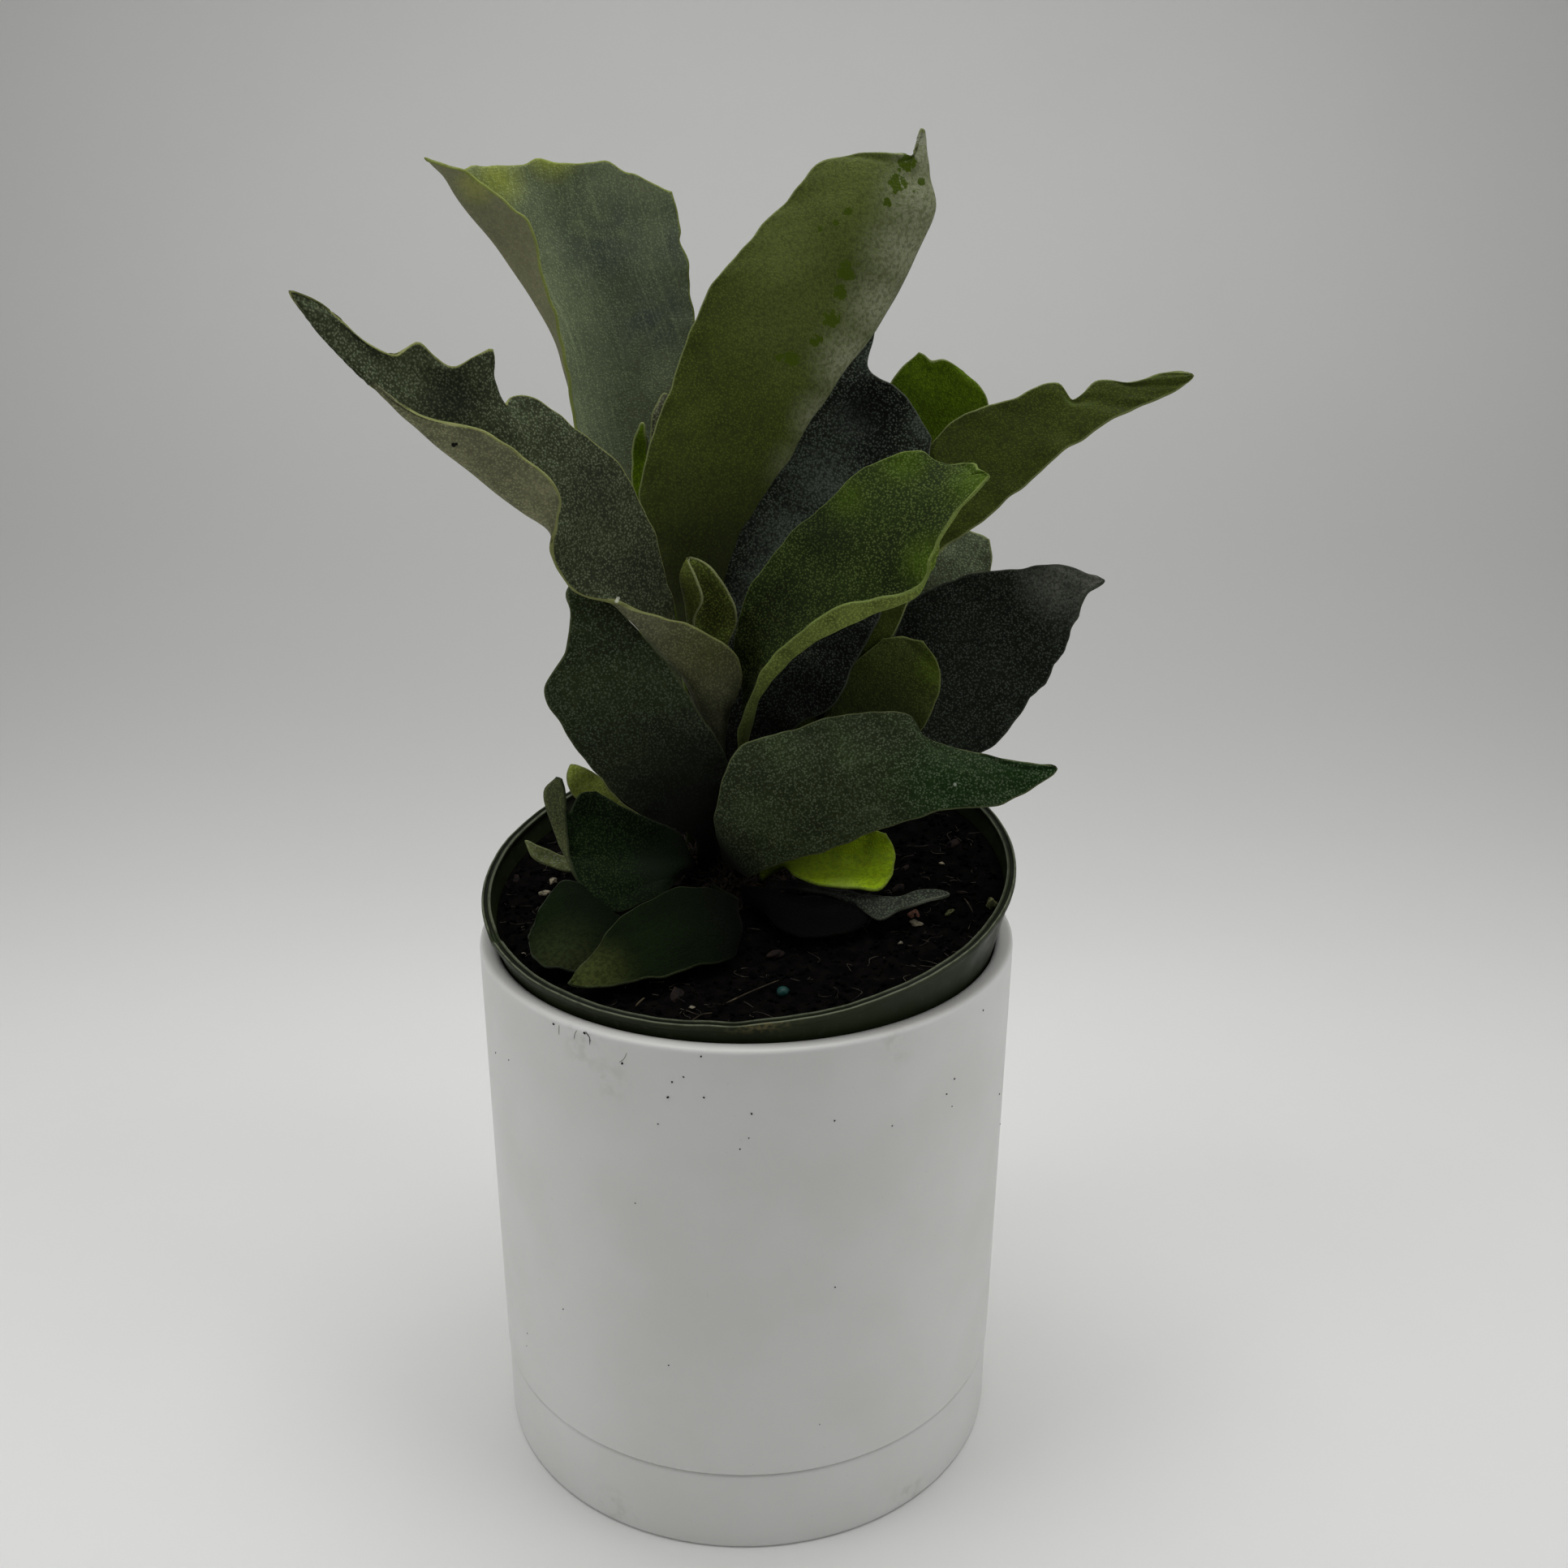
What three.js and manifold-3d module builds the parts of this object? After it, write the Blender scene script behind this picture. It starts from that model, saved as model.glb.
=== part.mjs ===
// A young staghorn fern in its nursery pot, which leans in a white ceramic pot with a saucer.
// Millimetres, +Z up. The origin is the middle of the saucer's underside, on the surface it stands on.
// +X is to the right and +Y away from someone who faces the plant.

import * as THREE from 'three';
import { mergeVertices } from 'three/addons/utils/BufferGeometryUtils.js';
import Module from 'manifold-3d';

const wasm = await Module();
wasm.setup();

// Driving dimensions
const gap = 0.3; // between pieces that touch
const saucerHeight = 21.3;
const saucerRadius = 63;
const saucerWall = 5;
const saucerFloor = 5;
const potRadiusLow = 63.4; // at the seam over the saucer
const potRadiusTop = 64.5; // at the rim
const potTop = 132.5;
const potWall = 4.3;
const rimChamfer = 0.9; // down the inside of the rim
const roundSides = 56;
const footRadius = 57.6; // the pot's stepped foot inside the saucer
const potFloor = 5.2;
const drainRadius = 7;

const lipRadius = 64.5; // nursery pot, outside of its rolled lip
const lipCentre = [0.2, 2.2, 147.1];
const leanBack = 9.2; // degrees, the lip is higher at the back
const leanRight = -3.75; // degrees, and higher at the right
const lipWidth = 2.2;
const lipDepth = 1.8; // from the top of the lip to the wall under it
const nurseryHeight = 103;
const nurseryWall = 0.9;
const baseRadius = 46;
const baseShift = [-3.3, -9.7]; // off the lip's axis, since the ceramic rim squeezes the thin wall upright

const soilDepth = 4.6; // soil surface under the lip
const crownOffset = [-6, 3.5]; // crown centre from the lip's axis
const crownRadius = 17.5;
const crownRise = 8; // crown top over the soil
const crownDepth = 6; // the hole it stands in
const seatGap = 0.36; // under a blade's seat at the crown's top
const seatClear = 0.033; // and what each mm out from there adds

const bladeMiddle = 1.3; // blade thickness at the midrib
const bladeEdge = 0.8;
const tipWidth = 1.4;

const degrees = Math.PI / 180;

const ceramic = new THREE.MeshStandardMaterial({ name: 'white_ceramic', color: 0xe9e9e7, roughness: 0.45 });
const plastic = new THREE.MeshStandardMaterial({ name: 'green_plastic', color: 0x2f3b30, roughness: 0.5 });
const peat = new THREE.MeshStandardMaterial({ name: 'peat', color: 0x15110e, roughness: 0.95 });
const scales = new THREE.MeshStandardMaterial({ name: 'crown_scales', color: 0x4a3a28, roughness: 0.9 });
const green = new THREE.MeshStandardMaterial({ name: 'frond_green', color: 0x35492f, roughness: 0.7 });
const dark = new THREE.MeshStandardMaterial({ name: 'frond_dark', color: 0x262f2b, roughness: 0.75 });
const young = new THREE.MeshStandardMaterial({ name: 'frond_young', color: 0x7f9a22, roughness: 0.6 });
const pale = new THREE.MeshStandardMaterial({ name: 'frond_pale', color: 0x6c7a45, roughness: 0.7 });

const plant = new THREE.Group();

function addMesh(name, geometry, material) {
  const mesh = new THREE.Mesh(geometry, material);
  mesh.name = name;
  plant.add(mesh);
  return mesh;
}

// Solids for cuts

function toSolid(geometry) {
  const bare = geometry.clone();
  bare.deleteAttribute('normal');
  bare.deleteAttribute('uv');
  const merged = mergeVertices(bare, 1e-4);
  const mesh = new wasm.Mesh({
    numProp: 3,
    vertProperties: new Float32Array(merged.attributes.position.array),
    triVerts: new Uint32Array(merged.index.array),
  });
  return new wasm.Manifold(mesh);
}

function toGeometry(solid) {
  const mesh = solid.getMesh();
  const geometry = new THREE.BufferGeometry();
  geometry.setAttribute('position', new THREE.BufferAttribute(new Float32Array(mesh.vertProperties), 3));
  geometry.setIndex(new THREE.BufferAttribute(new Uint32Array(mesh.triVerts), 1));
  geometry.computeVertexNormals();
  return geometry;
}

// A body of revolution about Z from [radius, height] pairs that run up its outside
function turned(profile, sides) {
  const points = profile.map(([radius, height]) => new THREE.Vector2(radius, height));
  const geometry = new THREE.LatheGeometry(points, sides);
  geometry.rotateX(Math.PI / 2);
  return geometry;
}

function pin(radius, height, x, y, z, sides = 16) {
  const geometry = new THREE.CylinderGeometry(radius, radius, height, sides);
  geometry.rotateX(Math.PI / 2);
  geometry.translate(x, y, z);
  return toSolid(geometry);
}

// White ceramic

function makeSaucer() {
  const inner = saucerRadius - saucerWall;
  return turned([
    [0, 0],
    [saucerRadius - 0.8, 0],
    [saucerRadius, 0.8],
    [saucerRadius + 0.15, saucerHeight - 0.5],
    [saucerRadius - 0.4, saucerHeight],
    [inner + 0.6, saucerHeight],
    [inner, saucerHeight - 0.6],
    [inner, saucerFloor + 1.5],
    [inner - 1.5, saucerFloor],
    [0, saucerFloor],
  ], roundSides);
}

function makeCeramicPot() {
  const shoulder = saucerHeight + gap;
  const foot = saucerFloor + gap;
  const inside = potRadiusTop - potWall;
  const insideLow = potRadiusLow - potWall;
  const footInside = footRadius - potWall;
  const body = turned([
    [0, foot],
    [footRadius - 1.6, foot],
    [footRadius, foot + 1.6],
    [footRadius, shoulder],
    [potRadiusLow - 0.4, shoulder],
    [potRadiusLow, shoulder + 0.5],
    [potRadiusTop, potTop - 2],
    [potRadiusTop - 0.5, potTop - 0.7],
    [potRadiusTop - 1.6, potTop],
    [inside + 1, potTop],
    [inside, potTop - rimChamfer],
    [insideLow, shoulder + 6],
    [footInside, shoulder + 2],
    [footInside, foot + potFloor + 2],
    [footInside - 2, foot + potFloor],
    [0, foot + potFloor],
  ], roundSides);
  const drain = pin(drainRadius, 20, 0, 0, foot + potFloor / 2);
  return toGeometry(toSolid(body).subtract(drain));
}

// The nursery pot's own frame: its lip lies in the plane of X and Y, around Z

const nursery = new THREE.Group();
nursery.position.set(...lipCentre);
nursery.rotation.set(leanBack * degrees, leanRight * degrees, 0);
nursery.updateMatrixWorld();

function circle(radius, x, y, z) {
  const points = [];
  for (let i = 0; i < roundSides; i += 1) {
    const angle = i / roundSides * Math.PI * 2;
    points.push(new THREE.Vector3(x + radius * Math.sin(angle), y - radius * Math.cos(angle), z));
  }
  return points;
}

// Rings of the thin wall's outside, or of a surface that lies inset from it
function lipRing(inset) {
  return circle(lipRadius - 0.5 - inset, 0, 0, -lipDepth);
}

function rimRing(inset, drop = 0) {
  const radius = potRadiusTop - potWall - gap - inset;
  return circle(radius, 0, 0, potTop - rimChamfer - drop).map((point) => nursery.worldToLocal(point));
}

function baseRing(inset, rise) {
  return circle(baseRadius - inset, ...baseShift, rise - nurseryHeight);
}

// Closes a stack of rings into a solid, from a point under the first to a point over the last
function stacked(first, rings, last) {
  const vertices = [first, ...rings.flat(), last].flatMap((point) => point.toArray());
  const index = [];
  const end = 1 + rings.length * roundSides;
  for (let i = 0; i < roundSides; i += 1) {
    const next = (i + 1) % roundSides;
    index.push(0, 1 + next, 1 + i);
    for (let ring = 0; ring < rings.length - 1; ring += 1) {
      const low = 1 + ring * roundSides;
      const high = low + roundSides;
      index.push(low + i, low + next, high + next);
      index.push(low + i, high + next, high + i);
    }
    index.push(end - roundSides + i, end - roundSides + next, end);
  }
  const geometry = new THREE.BufferGeometry();
  geometry.setAttribute('position', new THREE.Float32BufferAttribute(vertices, 3));
  geometry.setIndex(index);
  return geometry;
}

function makeNurseryPot() {
  const lipInside = lipRadius - lipWidth;
  const body = stacked(new THREE.Vector3(...baseShift, -nurseryHeight), [
    baseRing(2, 0),
    baseRing(0, 2),
    rimRing(0),
    lipRing(0),
    circle(lipRadius, 0, 0, -1.4),
    circle(lipRadius, 0, 0, -0.5),
    circle(lipRadius - 0.4, 0, 0, 0),
    circle(lipRadius - 1, 0, 0, -0.6),
    circle(lipInside + 0.4, 0, 0, 0),
    circle(lipInside, 0, 0, -0.5),
    circle(lipInside + 0.2, 0, 0, -1.2),
    lipRing(nurseryWall),
    rimRing(nurseryWall),
    baseRing(nurseryWall, 2.4),
    baseRing(nurseryWall + 2, nurseryWall),
  ], new THREE.Vector3(...baseShift, nurseryWall - nurseryHeight));
  let solid = toSolid(body);
  const holes = 6;
  for (let i = 0; i < holes; i += 1) {
    const angle = i / holes * Math.PI * 2;
    const x = baseShift[0] + baseRadius * 0.7 * Math.cos(angle);
    const y = baseShift[1] + baseRadius * 0.7 * Math.sin(angle);
    solid = solid.subtract(pin(4, 6, x, y, -nurseryHeight, 8));
  }
  return toGeometry(solid);
}

// Soil and crown, in the nursery pot's frame

function seeded(seed) {
  let state = seed;
  return () => {
    state = (state * 1664525 + 1013904223) % 4294967296;
    return state / 4294967296;
  };
}

function soilLevel(x, y) {
  const swells = 0.6 * Math.sin(x * 0.13 + 1) * Math.cos(y * 0.11) + 0.35 * Math.sin(x * 0.31 - y * 0.27);
  return swells - soilDepth;
}

function makeSoil() {
  const random = seeded(7);
  const inset = nurseryWall + gap + 0.1;
  const rim = rimRing(inset);
  const edge = lipRing(inset).map((point, i) => {
    const part = (-soilDepth - 1 - rim[i].z) / (point.z - rim[i].z);
    return rim[i].clone().lerp(point, Math.max(part, 0.1));
  });
  const rings = [57, 52, 46, 41, 35, 29, 22, 15, 8].map((radius) => {
    const ring = circle(radius, 0, 0, 0);
    for (const point of ring) point.z = soilLevel(point.x, point.y) + (random() - 0.35) * 1.2;
    return ring;
  });
  const body = stacked(new THREE.Vector3(...baseShift, nurseryWall + gap - nurseryHeight), [
    baseRing(inset + 2, nurseryWall + gap),
    baseRing(inset, 2.8),
    rim,
    edge,
    ...rings,
  ], new THREE.Vector3(0, 0, soilLevel(0, 0)));
  const hole = pin(crownRadius + gap, crownDepth * 2, ...crownOffset, -soilDepth, 32);
  return toGeometry(toSolid(body).subtract(hole));
}

// Height of the crown's dome over the soil plane, at a distance from its centre
function crownHeight(distance) {
  const part = distance / crownRadius;
  return crownRise * (1 - part * part);
}

function makeCrown() {
  const steps = 7;
  const profile = [[0, gap - crownDepth], [crownRadius, gap - crownDepth], [crownRadius, 0]];
  for (let i = 1; i < steps; i += 1) {
    const radius = crownRadius * (1 - i / steps);
    const scale = i % 2 ? 0.4 : 0; // rows of overlapping scales
    profile.push([radius, crownHeight(radius) - scale]);
  }
  profile.push([0, crownHeight(0)]);
  const geometry = turned(profile, 32);
  geometry.translate(crownOffset[0], crownOffset[1], -soilDepth);
  return geometry;
}

// Where a frond is seated: x and y from the crown's centre, the seat's width and its turn about Z
function seatRow([x, y, width, turn], count) {
  const row = [];
  for (let i = 0; i < count; i += 1) {
    const shift = width * (i / (count - 1) - 0.5);
    const across = x + shift * Math.cos(turn * degrees);
    const deep = y + shift * Math.sin(turn * degrees);
    const distance = Math.hypot(across, deep);
    const height = crownHeight(distance) - soilDepth + seatGap + seatClear * distance;
    const point = new THREE.Vector3(crownOffset[0] + across, crownOffset[1] + deep, height);
    row.push(point.applyMatrix4(nursery.matrixWorld));
  }
  return row;
}

// A blade is lofted over rails that run from its seat to its far margin. The first rail is the left
// margin and the last one the right margin, for someone who looks at the blade's upper face with its
// tip up. A blade with a tip ends in a row of tipWidth there, and any other ends in its rails' ends.
function makeFrond({ seat, rails, tip, across = 6, along = 14 }) {
  const starts = seatRow(seat, rails.length);
  const lines = rails.map((rail, i) => [starts[i], ...rail.map((point) => new THREE.Vector3(...point))]);
  if (tip) {
    const side = lines.at(-1).at(-1).clone().sub(lines[0].at(-1)).normalize();
    lines.forEach((line, i) => {
      const shift = tipWidth * (i / (lines.length - 1) - 0.5);
      line.push(new THREE.Vector3(...tip).addScaledVector(side, shift));
    });
  }
  const spaced = lines.map((line) => new THREE.CatmullRomCurve3(line).getSpacedPoints(along));
  const grid = [];
  for (let j = 0; j <= along; j += 1) {
    const row = spaced.map((line) => line[j]);
    grid.push(new THREE.CatmullRomCurve3(row).getPoints(across));
  }
  return thicken(grid, across, along);
}

// Gives a grid of points a thickness, with the same triangles on both faces
function thicken(grid, across, along) {
  const at = (i, j) => grid[Math.min(Math.max(j, 0), along)][Math.min(Math.max(i, 0), across)];
  const width = across + 1;
  const upper = [];
  const lower = [];
  for (let j = 0; j <= along; j += 1) {
    for (let i = 0; i <= across; i += 1) {
      const sideways = at(i + 1, j).clone().sub(at(i - 1, j));
      const onwards = at(i, j + 1).clone().sub(at(i, j - 1));
      const normal = sideways.cross(onwards).normalize();
      const fromMiddle = Math.abs(2 * i / across - 1);
      const thickness = bladeMiddle + (bladeEdge - bladeMiddle) * Math.max(fromMiddle ** 2, j / along);
      upper.push(...at(i, j).clone().addScaledVector(normal, thickness / 2));
      lower.push(...at(i, j).clone().addScaledVector(normal, -thickness / 2));
    }
  }
  const below = width * (along + 1);
  const index = [];
  for (let j = 0; j < along; j += 1) {
    for (let i = 0; i < across; i += 1) {
      const a = j * width + i;
      const b = a + 1;
      const c = b + width;
      const d = a + width;
      index.push(a, b, c, a, c, d);
      index.push(below + a, below + c, below + b, below + a, below + d, below + c);
    }
  }
  const wall = (from, to) => index.push(from, to, below + to, from, below + to, below + from);
  for (let j = 0; j < along; j += 1) {
    wall(j * width, (j + 1) * width);
    wall((j + 1) * width + across, j * width + across);
  }
  for (let i = 0; i < across; i += 1) {
    wall(i + 1, i);
    wall(along * width + i, along * width + i + 1);
  }
  const geometry = new THREE.BufferGeometry();
  geometry.setAttribute('position', new THREE.Float32BufferAttribute([...upper, ...lower], 3));
  geometry.setIndex(index);
  geometry.computeVertexNormals();
  return geometry;
}

const fronds = {
  frond_front_right: {
    material: dark,
    seat: [3, -8.4, 6, -30],
    rails: [
      [[-7, -10, 165], [-2, -10, 180], [11, -9, 185], [26, -9, 189], [37, -10, 188.5], [40.5, -11, 184],
        [45, -12.5, 182.5], [54, -15, 181], [63, -17, 180]],
      [[-3, -12, 159], [8, -14, 171], [24, -15, 178], [42, -17, 178], [59, -18, 177]],
      [[1, -12, 150], [8, -15, 154], [18, -17, 158], [33, -19, 165], [44, -20, 169], [58, -20, 171],
        [66, -19, 175]],
    ],
    tip: [70, -18, 179],
    along: 18,
  },
  frond_front_left: {
    material: dark,
    seat: [-3, -6.4, 6, 15],
    rails: [
      [[-13, -7, 158], [-23, -9, 163], [-33, -11, 173], [-41, -12, 185], [-45, -13, 195], [-40, -12, 204],
        [-39, -10, 211], [-40, -8, 216]],
      [[-9, -6, 159], [-16, -8, 172], [-25, -9, 188], [-30, -9, 202], [-35, -8, 212]],
      [[-5, -6, 164], [-4, -6, 175], [-9, -6, 185], [-17, -6, 198], [-26, -6, 209], [-31, -6, 215]],
    ],
    tip: [-36, -6, 221],
    along: 16,
  },
  frond_left_forked: {
    material: dark,
    seat: [-2, -2.4, 4, 75],
    rails: [
      [[-4, 0, 186], [-1, -2, 194], [-2, -3, 200], [-8, -5, 206], [-19, -9, 211], [-29, -13, 215],
        [-37, -16, 218], [-41, -19, 226], [-39, -23, 234], [-38, -25, 241], [-43, -27, 247], [-52, -30, 254],
        [-61, -31, 256], [-70, -33, 261], [-79, -37, 271]],
      [[-7, -2, 185], [-11, -3, 192], [-17, -5, 200], [-24, -9, 209], [-31, -12, 217], [-37, -15, 223],
        [-40, -19, 232], [-47, -21, 237], [-59, -26, 248], [-69, -32, 259], [-79, -38, 272]],
      [[-10, -1, 185], [-14, -1, 194], [-18, -1, 204], [-23, -4, 213], [-29, -8, 227], [-36, -11, 242],
        [-43, -14, 247], [-53, -20, 257], [-62, -24, 261], [-71, -30, 267], [-80, -38, 277]],
      [[-12, 1, 187], [-15, 2, 200], [-17, 2, 211], [-21, -1, 229], [-28, -4, 244], [-38, -7, 253],
        [-44, -10, 258], [-50, -13, 259], [-52, -15, 261], [-52, -18, 268], [-55, -20, 268], [-59, -22, 266],
        [-62, -24, 268], [-65, -26, 271], [-69, -29, 269], [-73, -32, 271], [-81, -38, 279]],
    ],
    tip: [-85, -42, 281],
    across: 7,
    along: 30,
  },
  frond_front_center: {
    material: green,
    seat: [3, -2.4, 4, -45],
    rails: [
      [[-1, 4, 187], [-3, 5, 201], [0, 4, 213], [7, 3, 224], [19, 1, 236], [28, -1, 244], [38, -3, 247],
        [42, -5, 245], [49, -9, 245]],
      [[1, 2, 185], [6, 0, 207], [18, -4, 223], [34, -8, 235], [44, -11, 240]],
      [[-0.6, -3.8, 182], [1.4, -5.6, 188.5], [6.2, -7.2, 197], [17, -10, 207], [28, -13, 213],
        [37, -15, 217.5], [40.5, -16, 224], [42.5, -15.5, 232], [48.5, -14.5, 239]],
      [[-2, -4, 182], [0, -6, 189], [4, -8, 199], [12, -11, 208], [20.5, -13.6, 214.5], [31, -16, 217.5],
        [38.5, -17, 220], [40.5, -17, 228], [44, -16, 234], [49.5, -15, 240]],
    ],
    tip: [52, -13, 243],
    across: 7,
    along: 18,
  },
  frond_back_center: {
    material: pale,
    seat: [0, 4.6, 5, 180],
    rails: [
      [[-8, 10, 187], [-7, 13, 210], [-2, 16, 226], [8, 19, 241], [18, 22, 258], [26, 26, 267],
        [33, 31, 277], [38, 34, 288], [40, 29, 300], [39.5, 23, 304.5]],
      [[-10, 9, 187], [-8, 11, 208], [-3, 13, 225], [7, 14, 241], [17.5, 15, 258], [28, 17, 273],
        [35.5, 19, 286], [41, 20, 297], [39.5, 20.5, 305]],
      [[-11, 8, 187], [-11, 9, 211], [-9, 11, 233], [-1, 12, 255], [7, 13, 273], [18, 14, 290],
        [28, 16, 302], [35, 18.5, 304.5]],
      [[-14, 9, 187], [-17, 11, 208], [-22, 12, 223], [-25, 13, 235], [-22, 14, 247], [-17, 15, 260],
        [-9, 16, 279], [3, 17, 293], [8, 17, 298], [16, 18, 306], [24, 18, 308], [34, 19, 308.5],
        [36.5, 19.5, 308]],
    ],
    tip: [38.5, 21, 313.5],
    across: 8,
    along: 16,
  },
  frond_back_left: {
    material: green,
    seat: [-6, 9.5, 5, 10],
    rails: [
      [[-21, 15, 185], [-30.5, 17, 214], [-37, 17, 238], [-40, 14, 254], [-41, 12, 267], [-44, 10, 280],
        [-47, 9, 293], [-54, 9, 300], [-61, 9, 304], [-69, 10, 307]],
      [[-18, 16, 185], [-28, 19, 216], [-35, 19, 241], [-40, 18, 257], [-43, 17, 268], [-50, 16, 281],
        [-57, 15, 291], [-63, 14, 299], [-66, 14, 305]],
      [[-15, 17, 185], [-22, 21, 216], [-28, 23, 240], [-33, 25, 263], [-40, 26, 284], [-51, 26, 306]],
      [[-13, 17, 185], [-17, 22, 216], [-22, 24, 240], [-23, 26, 263], [-25, 27, 284], [-32, 27, 306]],
      [[-11, 17, 185], [-13, 22, 216], [-14, 24, 242], [-12, 26, 268], [-14, 26, 284], [-17, 26, 300]],
    ],
    across: 8,
    along: 14,
  },
  frond_dark_center: {
    material: dark,
    seat: [6, 5.6, 5, -40],
    rails: [
      [[-9, 12, 186], [-10, 17, 205], [-5, 22, 225], [8, 26, 248], [21, 29, 263], [29.5, 31, 271]],
      [[-3, 10, 185], [5, 14, 208], [16, 19, 228], [23, 23, 246], [29, 28, 261]],
      [[3, 9, 181], [15, 12, 200], [25, 17, 219], [32, 21.5, 239], [37, 25.5, 255.5]],
      [[10, 7, 179], [20, 8, 185], [25, 10, 194], [32, 13, 208], [38, 17, 227], [42, 20, 237],
        [43, 23, 246.5]],
    ],
    along: 12,
  },
  frond_right_upper: {
    material: pale,
    seat: [7.8, 8.4, 2.4, -40],
    rails: [
      [[15, 10.5, 174], [27, 15, 191], [34, 16.5, 199], [38.5, 17, 209], [44.5, 16.5, 220],
        [52.5, 15, 226.5], [63, 13.5, 236], [72.5, 12, 245], [81.5, 10.5, 251.5], [88.5, 9.5, 255.5],
        [96.5, 8.5, 259]],
      [[12, 11, 176], [24, 15.5, 193], [30, 17, 204], [36.5, 19, 218.5], [43, 19.5, 231], [57, 18, 243],
        [69, 15.5, 251.5], [82.5, 12, 256], [92.5, 9.5, 259]],
      [[9.5, 12, 178], [20, 16, 193.5], [26, 18.5, 205.5], [32.5, 21.5, 220.5], [38, 23.5, 233],
        [43, 24.5, 245], [48, 23, 250.5], [56, 21, 254.5], [62, 19.5, 256.5], [71, 17.5, 260],
        [74, 16.5, 256], [79.5, 15, 260.5], [86.5, 12.5, 260.5], [93.5, 10.5, 263]],
    ],
    tip: [99.5, 8.5, 262.5],
    along: 20,
  },
  frond_right_small_back: {
    material: young,
    seat: [6, 10.6, 4, 0],
    rails: [
      [[7, 20, 184], [23, 27, 215], [32, 32, 241], [33, 34, 257], [40, 35, 265]],
      [[10, 20, 183], [29, 27, 213], [40, 32, 238], [44, 34, 253], [46, 35, 264]],
      [[13, 20, 182], [35, 27, 211], [49, 31, 230], [57, 33, 244], [57, 34, 255], [51, 35, 261]],
    ],
    along: 9,
  },
  frond_right_dark: {
    material: dark,
    seat: [10, 5.6, 4, -50],
    rails: [
      [[14, 14, 173], [25, 19, 186], [35, 22, 198], [40, 23, 208], [53, 23, 214], [65, 22, 216],
        [75, 21, 217]],
      [[16, 13, 170], [30, 17, 179], [47, 20, 190], [64, 20, 201], [76, 19, 209]],
      [[18, 12, 168], [34, 15, 167], [48, 16, 167], [59, 16, 172], [69, 16, 185], [76, 16, 197],
        [79, 17, 206], [81, 17, 211]],
    ],
    tip: [85, 18, 214],
    along: 12,
  },
  frond_right_mid_back: {
    material: pale,
    seat: [10, 10.6, 4, -30],
    rails: [
      [[18, 20, 178], [32, 27, 194], [41, 31, 210], [47, 33, 218], [54, 34, 223]],
      [[20, 20, 175], [36, 26, 193], [48, 30, 207], [57, 34, 222]],
      [[22, 20, 173], [41, 26, 189], [54, 29, 202], [60, 32, 215], [59, 33, 221]],
    ],
    along: 9,
  },
  frond_right_small_round: {
    material: green,
    seat: [12, 1.5, 4, -40],
    rails: [
      [[13, 7, 167], [18, 10, 181], [23, 12, 192], [32, 15, 200]],
      [[16, 6, 165], [28, 9, 178], [36, 12, 190], [37, 14, 201]],
      [[20, 5, 164], [36, 8, 173], [45, 10, 185], [46, 12, 193], [42, 14, 200]],
    ],
    along: 9,
  },
  frond_lower_left: {
    material: dark,
    seat: [-8, -5.4, 4, 60],
    rails: [
      [[-19.6, -15, 146], [-24.4, -15.5, 144], [-29.4, -16, 141.8], [-33.5, -15, 143.4], [-38.8, -12.8, 148],
        [-41.2, -10, 153], [-42, -8, 158], [-42, -7, 165], [-42, -7, 169], [-43, -7, 172]],
      [[-20, -13.4, 147.6], [-24.5, -13.7, 145.8], [-29, -13.8, 144.2], [-33.5, -12.8, 146],
        [-38.8, -11, 150], [-42.2, -8.5, 153.5], [-45, -7, 159], [-46.5, -6, 164], [-47, -5, 168],
        [-44, -6, 172]],
      [[-18, -10, 149], [-29, -8, 151], [-37, -6, 156], [-42, -4, 162]],
      [[-14, -7, 150], [-23, -4, 154], [-33, -2, 161], [-40, -1, 166]],
      [[-13, -5, 152], [-16, -3, 157], [-24, -1, 160], [-32, 0, 164], [-36, 1, 166]],
    ],
    across: 8,
    along: 10,
  },
  frond_lower_left_back: {
    material: young,
    seat: [-9, -0.4, 3, 50],
    rails: [
      [[-30, 5, 153], [-39, 7, 159], [-44, 8, 165]],
      [[-28, 6, 155], [-37, 8, 162]],
      [[-25, 7, 157], [-33, 8, 163], [-36, 9, 167], [-39, 9, 169]],
    ],
    tip: [-43, 9, 170],
    across: 4,
    along: 8,
  },
  frond_left_small_curl: {
    material: pale,
    seat: [-11, -4.4, 3, 80],
    rails: [
      [[-31, -2, 145], [-42, 1, 145], [-48, 2, 146], [-52, 2, 148]],
      [[-32, 0, 146], [-42, 2, 147], [-48, 3, 148], [-52, 3, 150]],
      [[-31, 1, 147], [-42, 3, 148], [-48, 3, 150], [-52, 3, 152]],
    ],
    tip: [-54, 3, 152],
    across: 4,
    along: 8,
  },
  shield_left: {
    material: pale,
    seat: [-10, -10.4, 4, 70],
    rails: [
      [[-25, -33, 139], [-32, -36, 137], [-41, -36, 137], [-46, -34, 137]],
      [[-21, -28, 141], [-31, -29, 142], [-41, -29, 142]],
      [[-22, -24, 142.4], [-28.6, -22, 143.4], [-33.6, -19.5, 146.2], [-38.1, -16.5, 149.3],
        [-41.2, -15.5, 150], [-44, -17, 149], [-47, -21, 145]],
    ],
    tip: [-49, -27, 140],
    across: 5,
    along: 9,
  },
  shield_front: {
    material: green,
    seat: [-2, -14.4, 5, 100],
    rails: [
      [[-2, -35, 140], [-9, -38, 139], [-17, -41, 138], [-24, -42, 137], [-30, -43, 136]],
      [[-1, -29, 144], [-10, -31, 145], [-21, -34, 143], [-30, -38, 140]],
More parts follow.
